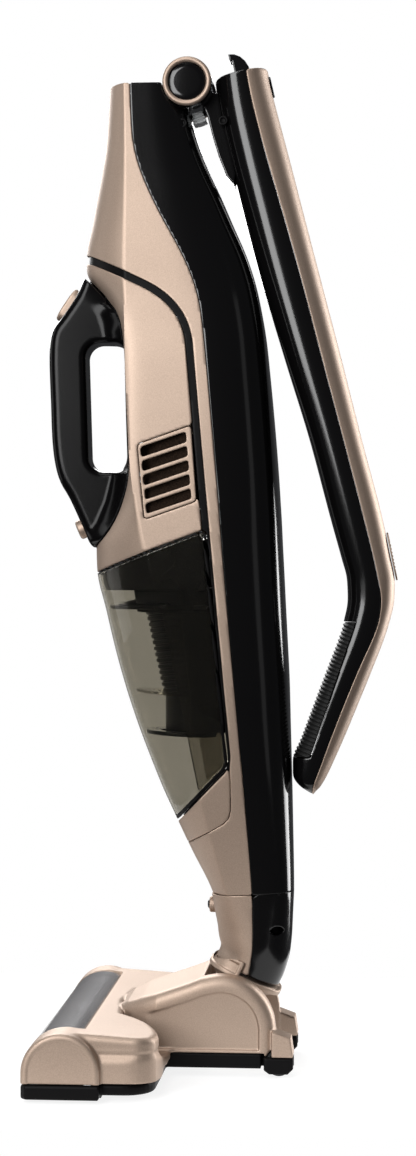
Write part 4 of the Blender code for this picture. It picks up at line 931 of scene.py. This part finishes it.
def build_grip(black, gold):
    solid_piece("grip_loop", grip_solid, (-38, -117, 332), (38, -55, 526), 0.75, black, "hand_vac",
                ["d_grip"])
    for name, (centre, axis, long_half, half) in BUTTONS.items():
        def button(x, y, z, centre=centre, axis=axis, long_half=long_half, half=half):
            across, along = button_place(y, z, centre, axis)
            side = np.hypot(np.maximum(np.abs(across) - long_half + half, 0), x) - half
            dome = along - 4.8 + 0.012 * (x * x + 0.3 * across * across)
            return both(both(side, dome, 1.6), -2.4 - along)

        low = (-half - 1, centre[0] - long_half - 1, centre[1] - long_half - 1)
        high = (half + 1, centre[0] + long_half + 1, centre[1] + long_half + 1)
        solid_piece(name + "_cap", button, low, high, 0.4, gold, name, [name])

    def trim(x, y, z):
        front = np.interp(z, [395.0, 411.7, 436.0], [-110.2, -112.2, -113.1])
        return rounded_box(x, y, z, (0.0, front + 0.6, 407.5), (2.6, 1.3, 7.5), 1.2)

    solid_piece("grip_trim", trim, (-4, -117, 398), (4, -108, 417), 0.35, gold, "hand_vac")


# ---- hinge, latch, switch and the other small parts --------------------------------------------------
def build_hinge(gold, black):
    for name, side in (("left", 1), ("right", -1)):
        centre = (0, *HINGE)
        cheek = [(17.6, 0), (17.6, 16), (24.4, 16), (24.4, 12.2), (25.6, 12.0), (26.3, 9.0), (26.5, 0)]
        spin("hinge_disc_" + name, cheek, centre, (side, 0, 0), black, "stick", ["hinge_ear_" + name],
             soften=0.7)
        ring = [(24.6, 12.4), (24.6, 16.0), (26.6, 16.0), (27.6, 14.9), (27.6, 13.6), (26.8, 12.4)]
        spin("hinge_trim_" + name, ring, centre, (side, 0, 0), gold, "stick", ["hinge_ring_" + name],
             soften=0.5)

        def arm(x, y, z, side=side):
            view = [(-52, 598), (-35, 598), (-33.2, 615), (-33.2, 640), (-38, 642.4), (-52, 639)]
            return both(polygon(view, y, z), slab(x * side, 17.6, 20.0), 0.6)

        low, high = (17, 21) if side > 0 else (-21, -17)
        solid_piece("hinge_arm_" + name, arm, (low, -54, 596), (high, -31, 644), 0.5, black, "stick")

    def knuckle(x, y, z):
        leaf = [(-15.0, 634.0), (-9.0, 640.0), (-1.8, 637.0), (0.6, 621.5), (3.8, 609.0), (6.8, 596.0),
                (9.4, 584.0), (8.6, 577.9), (5.6, 580.5), (3.4, 583.4), (-1.6, 596.0), (-5.6, 609.0),
                (-8.9, 622.0), (-11.2, 628.0)]
        radius = np.hypot(y - HINGE[0], z - HINGE[1])
        eye = both(radius - 14.5, np.abs(x) - 17.1, 0.8)
        plate = both(polygon(leaf, y, z), np.abs(x) - 13.0, 0.9)
        return without(either(eye, plate, 2.0), radius - 3.4, 0.3)

    solid_piece("handle_knuckle_leaf", knuckle, (-18.5, -38, 575), (18.5, 10, 660), 0.55, black, "handle",
                ["handle_knuckle"])


def key_plate(x, y, z, middle, axis, half_width, half_length, rim):
    """Distance to a rounded key's outline, and distances across and along its direction."""
    across, along = button_place(y, z, middle, axis)
    size = (np.abs(x / half_width) ** 4 + np.abs(across / half_length) ** 4) ** 0.25
    return size * rim - rim, across, along


def build_latch(black):
    def hook(x, y, z):
        corners = ((31, -7), (41.5, -7), (41.5, 0.6), (41.0, 5.0), (39.4, 9.2), (36.8, 12.6), (33.4, 14.9),
                   (29.4, 15.8), (29.4, 11.6), (31, 10.6))
        view = [face_point(along, above) for along, above in corners]
        return both(polygon(view, y, z), np.abs(x) - 6.5, 0.9)

    solid_piece("latch_claw", hook, (-8, 0, 636), (8, 34, 672), 0.45, black, "latch_hook", ["latch_hook"])

    def fold_button(x, y, z):
        plate, _, along = key_plate(x, y, z, (31.9, 643.4), (0.974, 0.226), 5.9, 6.6, 6.2)
        return both(plate, slab(along, -3.0, 1.3), 0.7)

    solid_piece("fold_key", fold_button, (-7, 25, 634), (7, 37, 653), 0.4, black, "fold_release_button",
                ["fold_release_button"])


def build_switch(gold):
    """Slide switch; its underside follows the handle's bend to stay clear at both ends of its travel."""
    def slider(x, y, z):
        plate, across, along = key_plate(x, y, z, (110.6, 334.0), (0.972, 0.235), 6.5, 16.0, 8.0)
        grooves = 0.25 * np.cos(2 * math.pi * across / 2.4) * (np.abs(across) < 9)
        under = np.interp(across, (-16, -12, -6, 2, 10, 16), (-0.07, 0.06, 0.20, 0.53, 0.84, 1.0))
        return both(plate, slab(along, under, under + 1.25 + grooves), 0.4)

    solid_piece("slide_key", slider, (-8, 104, 314), (8, 120, 354), 0.4, gold, "slide_switch",
                ["slide_switch"])


def build_stick_top(satin, grey):
    def sleeve(x, y, z):
        radius = np.hypot(y - HINGE[0], z - HINGE[1])
        angle = np.degrees(np.arctan2(z - HINGE[1], y - HINGE[0]))
        ribs = 0.5 * np.cos(2 * math.pi * radius / 2.2)
        bent = both(slab(radius, 16.9, 24.6), slab(angle, -84.0, -62.0) * 0.4, 0.8)
        return both(bent, np.abs(x) - 6.0 - ribs, 0.4)

    solid_piece("wire_guide", sleeve, (-8, -26, 615), (8, -6, 630), 0.4, grey, "stick", ["wire_sleeve"])

    def top_plate(x, y, z):
        inner = np.abs(x) - body_x(y, z) + 2.9
        outline = np.maximum(np.maximum(inner, y + 54.0), -74.5 + 2.9 - y)
        bridge = both(slab(y, -54.5, -39.6), slab(np.abs(x), 16.8, 21.0))
        plate = np.maximum(either(outline, bridge), slab(z, 639.6, 642.9))
        return without(plate, both(slab(y, -70.6, -46.5), np.abs(x) - 8.5), 0.3)

    solid_piece("top_lid", top_plate, (-26, -76, 638), (26, -37, 645), 0.5, satin, "stick",
                ["stick_top_plate"])


def build_neck_key(gold, black):
    def press(x, y, z):
        radius = np.hypot(x, z - NECK_BUTTON[1])
        body = both(radius - 5.3, slab(y, -8.4, 0.6), 1.4)
        return without(body, both(radius - 3.3, y + 8.2), 0.3)

    solid_piece("neck_key", press, (-7, -11, 98), (7, 2, 112), 0.35, gold, "neck_button", ["neck_button"])
    core = [(0.4, 0), (0.4, 3.1), (7.6, 3.1), (8.6, 2.0), (8.8, 0)]
    spin("neck_key_core", core, (0, -1.0, NECK_BUTTON[1]), (0, -1, 0), black, "neck_button")


def build_screws(satin):
    head = [(-1.4, 0), (-1.4, 2.9), (0.1, 2.9), (0.1, 1.9), (-0.7, 1.3), (-0.7, 0)]
    stick_side = float(body_x(-24.8, 616.8))
    for body, x, y, z in (("stick", stick_side, -24.8, 616.8), ("handle", 19.6, 1.8, 618.3)):
        for side, name in ((1, "left"), (-1, "right")):
            spin(f"screw_{body}_{name}", head, ((x + 0.2) * side, y, z), (side, 0, 0), satin, body,
                 segments=24, soften=0.15)


# ---- inside the dust cup -----------------------------------------------------------------------------
def build_cup_inside(satin, seal, smoke):
    def seal_band(x, y, z):
        line = z - cup_z(y)
        return least(line + 1.6, 0.2 - line, dock_y(z) - 1.2 - y)

    def housing(x, y, z):
        return least(z - 312.0, cup_z(y) - 2.2 - z, dock_y(z) - 3.6 - y)

    def flange(x, y, z):
        return least(z - 299.6, 302.4 - z, dock_y(z) - 3.6 - y)

    def channel(x, y, z):
        line = np.interp(z, [184.0, 219.0, 300.0], [-13.6, -20.2, -36.0])
        return least(y - line, -polygon(cup_outline(-3.2, -40.0), y, z), z - 172.0, 298.0 - z)

    shell("cup_gasket", body_grid, seal_band, seal, "dust_cup", ["cup_seal"], wall=4.0, roll=0.3)
    points, normals, faces = body_grid
    inner_grid = (points - normals * 3.2, normals, faces)
    shell("filter_collar", inner_grid, housing, satin, "dust_cup", ["filter_housing"], wall=8.0, roll=0.5)
    shell("filter_flange", inner_grid, flange, satin, "dust_cup", wall=18.0, roll=0.5)
    shell("cup_channel", inner_grid, channel, smoke, "dust_cup", wall=1.2, roll=0.2)


def build_filter(satin):
    profile = [(0, 0), (0, 20.0), (9.0, 20.0)]
    for k in range(14):
        start, radius = 9.5 + 4.0 * k, 21.6 - 0.5 * k
        profile += [(start, radius), (start + 2.4, radius), (start + 2.6, radius - 1.3),
                    (start + 3.8, radius - 1.4)]
    profile += [(66.0, 14.6), (66.0, 0)]
    spin("filter_ribs", profile, (0, -30.0, 309.7), (0, DOCK_LEAN, -1.0), satin, "dust_cup",
         ["filter_cone"], soften=0.3)


def cup_ring(name, length, inner, outer, centre, axis, mat, nodes=()):
    profile = [(0, inner), (0, outer), (length, outer), (length, inner)]
    spin(name, profile, centre, axis, mat, "dust_cup", nodes)


def build_inlet(satin, smoke):
    def spine(x, y, z):
        front = np.interp(z, [246.0, 296.0, 298.0, 316.0], [-20.0, -26.0, -54.0, -57.0])
        side = np.maximum(slab(z, 219.0, 313.5), np.maximum(front - y, y - dock_y(z) + 1.4))
        return both(side, np.abs(x) - 24.0, 3.0)

    cup_ring("inlet_tower", 27.5, 13.0, 17.0, (0, -20.5, 217.0), (0, 0, 1), satin, ["inlet_duct"])
    solid_piece("inlet_spine", spine, (-26, -60, 216), (26, 8, 316), 0.8, satin, "dust_cup")
    cup_ring("inlet_flange", 2.6, 14.0, 23.0, (0, -27.0, 216.6), (0, 0.06, 1), satin)
    cup_ring("baffle_disc", 1.6, 17.2, 30.0, (0, -27.0, 243.0), (0, 0.09, 1), smoke)


# ---- materials -----------------------------------------------------------------------------------
def finish(name, colour, metallic=0.0, transmission=0.0, roughness=0.4, grain=0.6, vary=0.05,
           uneven=0.04, bump=0.0, coat=0.0, coat_roughness=0.06, alpha=1.0, specular=0.5, relief=0.0001,
           sheen=0.0, ior=1.5):
    """Moulded or painted surface: fine grain (in mm) in its colour and bump, slow changes of roughness."""
    mat = bpy.data.materials.new(name)
    mat.use_nodes = True
    tree = mat.node_tree
    shader = tree.nodes["Principled BSDF"]
    place = tree.nodes.new("ShaderNodeTexCoord").outputs["Object"]

    def noise(size_mm, detail):
        node = tree.nodes.new("ShaderNodeTexNoise")
        node.inputs["Scale"].default_value = 1000.0 / size_mm
        node.inputs["Detail"].default_value = detail
        tree.links.new(place, node.inputs["Vector"])
        return node.outputs["Fac"]

    fine, slow = noise(grain, 2.0), noise(45.0, 2.0)
    ramp = tree.nodes.new("ShaderNodeValToRGB")
    ramp.color_ramp.elements[0].position = 0.3
    ramp.color_ramp.elements[1].position = 0.7
    ramp.color_ramp.elements[0].color = (*[c * (1 - vary) for c in colour], 1)
    ramp.color_ramp.elements[1].color = (*[min(c * (1 + vary), 1) for c in colour], 1)
    tree.links.new(fine, ramp.inputs["Fac"])
    tree.links.new(ramp.outputs["Color"], shader.inputs["Base Color"])
    spread = tree.nodes.new("ShaderNodeMapRange")
    spread.inputs["To Min"].default_value = max(roughness - uneven, 0.02)
    spread.inputs["To Max"].default_value = min(roughness + uneven, 1.0)
    tree.links.new(slow, spread.inputs["Value"])
    tree.links.new(spread.outputs["Result"], shader.inputs["Roughness"])
    if bump:
        node = tree.nodes.new("ShaderNodeBump")
        node.inputs["Strength"].default_value = bump
        node.inputs["Distance"].default_value = relief
        tree.links.new(fine, node.inputs["Height"])
        tree.links.new(node.outputs["Normal"], shader.inputs["Normal"])
    constants = {"Metallic": metallic, "Specular IOR Level": specular, "IOR": ior, "Coat Weight": coat,
                 "Coat Roughness": coat_roughness, "Sheen Weight": sheen, "Alpha": alpha,
                 "Transmission Weight": transmission}
    for socket, value in constants.items():
        shader.inputs[socket].default_value = value
    return mat


# ---- studio -----------------------------------------------------------------------------------------
LIGHTS = (      # name, place, height aimed at on the middle axis, size, watts
    ("soft_front", (1.62, -0.76, 0.95), 0.40, (0.75, 1.4), 31.0),
    ("soft_nose", (-0.25, -1.65, 0.60), 0.34, (0.8, 1.5), 5.0),
    ("soft_rear", (0.95, 1.25, 0.55), 0.32, (0.30, 1.5), 0.5),
    ("soft_edge", (-0.95, 1.30, 0.50), 0.36, (0.7, 1.6), 26.0),
    ("soft_top", (0.35, -0.25, 1.90), 0.2, (1.0, 1.0), 10.0),
    ("soft_far", (-1.3, -0.5, 1.0), 0.2, (1.0, 0.8), 18.0),
)


def stand(name, data, place, target):
    """Put a lamp or camera at a place, looking at the target."""
    item = bpy.data.objects.new(name, data)
    bpy.context.collection.objects.link(item)
    item.location = place
    item.rotation_euler = (Vector(target) - Vector(place)).to_track_quat("-Z", "Y").to_euler()
    return item


def build_lights():
    for name, place, height, size, power in LIGHTS:
        data = bpy.data.lights.new(name, "AREA")
        data.shape = "RECTANGLE"
        data.size, data.size_y = size
        data.energy = power
        stand(name, data, place, (0, 0, height))


def build_camera():
    data = bpy.data.cameras.new("camera")
    data.lens, data.sensor_width = 70.3, 36.0
    target = Vector((0.0, -0.0096, 0.32))
    turn = math.radians(94.5)
    place = target + Vector((math.sin(turn), -math.cos(turn), 0.0)) * 1.492
    bpy.context.scene.camera = stand("camera", data, place, target)


def build_world():
    """White where it is seen directly or through clear parts, and a weak bluish fill light."""
    world = bpy.data.worlds.new("studio")
    bpy.context.scene.world = world
    world.use_nodes = True
    tree = world.node_tree
    tree.nodes.clear()
    out = tree.nodes.new("ShaderNodeOutputWorld")
    mix = tree.nodes.new("ShaderNodeMixShader")
    rays = tree.nodes.new("ShaderNodeLightPath")
    fill = tree.nodes.new("ShaderNodeBackground")
    backdrop = tree.nodes.new("ShaderNodeBackground")
    fill.inputs["Color"].default_value = (0.93, 0.95, 1.0, 1)
    fill.inputs["Strength"].default_value = 0.07
    backdrop.inputs["Color"].default_value = (1, 1, 1, 1)
    seen = tree.nodes.new("ShaderNodeMath")
    seen.operation = "MAXIMUM"
    tree.links.new(rays.outputs["Is Camera Ray"], seen.inputs[0])
    tree.links.new(rays.outputs["Is Transmission Ray"], seen.inputs[1])
    tree.links.new(seen.outputs[0], mix.inputs[0])
    tree.links.new(fill.outputs[0], mix.inputs[1])
    tree.links.new(backdrop.outputs[0], mix.inputs[2])
    tree.links.new(mix.outputs[0], out.inputs["Surface"])


def build_floor():
    paper = finish("studio_floor", (0.25, 0.25, 0.25), roughness=0.9, grain=3.0, vary=0.004, specular=0.0)
    shader = paper.node_tree.nodes["Principled BSDF"]
    shader.inputs["Emission Color"].default_value = (1, 1, 1, 1)
    shader.inputs["Emission Strength"].default_value = 0.85
    mesh = bpy.data.meshes.new("floor")
    corners = [(-0.32, -0.34, 0), (0.19, -0.34, 0), (0.19, 0.16, 0), (-0.32, 0.16, 0)]
    mesh.from_pydata(corners, [], [(0, 1, 2, 3)])
    mesh.materials.append(paper)
    floor = bpy.data.objects.new("floor", mesh)
    bpy.context.collection.objects.link(floor)
    floor.location.z = -0.0004


def build_studio():
    build_camera()
    build_lights()
    build_world()
    build_floor()
    bpy.context.scene.view_settings.view_transform = "Standard"


def dress_cad(finishes):
    """Give every CAD node that still shows a finish of its own in place of its flat one."""
    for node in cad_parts.values():
        for slot in node.material_slots:
            if slot.material and slot.material.name in finishes:
                slot.material = finishes[slot.material.name]


def main():
    gold = finish("champagne_paint", (0.457, 0.347, 0.273), metallic=0.92, roughness=0.56, grain=0.6,
                  vary=0.10, bump=0.05, coat=0.35, coat_roughness=0.45)
    black = finish("piano_black", (0.0030, 0.0028, 0.0030), roughness=0.13, uneven=0.015, specular=0.42)
    satin = finish("moulded_black", (0.003, 0.0027, 0.003), roughness=0.42, bump=0.15, grain=0.5,
                   specular=0.09)
    rubber = finish("soft_black_rubber", (0.008, 0.008, 0.008), roughness=0.6, bump=0.2, grain=0.4,
                    specular=0.3)
    cup = finish("smoked_clear_plastic", (0.43, 0.41, 0.36), roughness=0.03, uneven=0.01, transmission=1.0,
                 vary=0.01, grain=20.0, ior=1.2)
    grip = finish("grip_black", (0.0022, 0.0020, 0.0022), roughness=0.2, uneven=0.03, specular=0.15,
                  grain=0.5)
    inner = finish("cup_black", (0.0035, 0.0035, 0.0042), roughness=0.28, specular=0.2)
    pale = finish("pale_clear_plastic", (0.62, 0.64, 0.64), roughness=0.25, alpha=0.8, coat=0.6)
    window = finish("grey_clear_plastic", (0.33, 0.32, 0.325), roughness=0.22, alpha=0.84, coat=0.6)
    steel = finish("steel_metal", (0.50, 0.50, 0.51), metallic=1.0, roughness=0.32, bump=0.05)
    foam = finish("brown_filter_foam", (0.020, 0.012, 0.008), roughness=0.95, grain=0.9, vary=0.6, bump=0.8,
                  relief=0.0006, specular=0.1)
    bristle = finish("nylon_bristle", (0.035, 0.035, 0.038), roughness=0.8, grain=0.5, vary=0.5, bump=0.7,
                     relief=0.0003, sheen=0.2)
    felt = finish("felt_pile", (0.06, 0.06, 0.06), roughness=0.95, grain=0.4, vary=0.4, bump=0.6, sheen=0.3)
    cells = finish("cell_wrap", (0.02, 0.05, 0.12), roughness=0.35, grain=1.0)
    board = finish("board_green", (0.02, 0.12, 0.05), roughness=0.4, grain=1.5, vary=0.3)
    build_studio()
    build_head(gold, window, satin)
    build_brush(satin, bristle)
    build_wheels(rubber)
    build_neck(gold, black)
    build_stick(gold, black)
    build_gasket(satin)
    build_hand(gold)
    build_louvres(gold)
    build_grip(grip, gold)
    build_cup(cup, satin)
    build_cup_inside(inner, rubber, cup)
    build_filter(inner)
    build_inlet(inner, cup)
    build_handle(black, gold, rubber)
    build_hinge(gold, black)
    build_latch(black)
    build_switch(gold)
    build_stick_top(satin, pale)
    build_neck_key(gold, black)
    build_screws(satin)
    dress_cad({"champagne_gold": gold, "gloss_black": black, "satin_black": satin, "soft_black": rubber,
               "smoked_clear": cup, "grey_clear": window, "steel": steel, "brown_foam": foam,
               "bristle": bristle, "felt": felt, "cell_pack": cells, "circuit_board": board})


main()
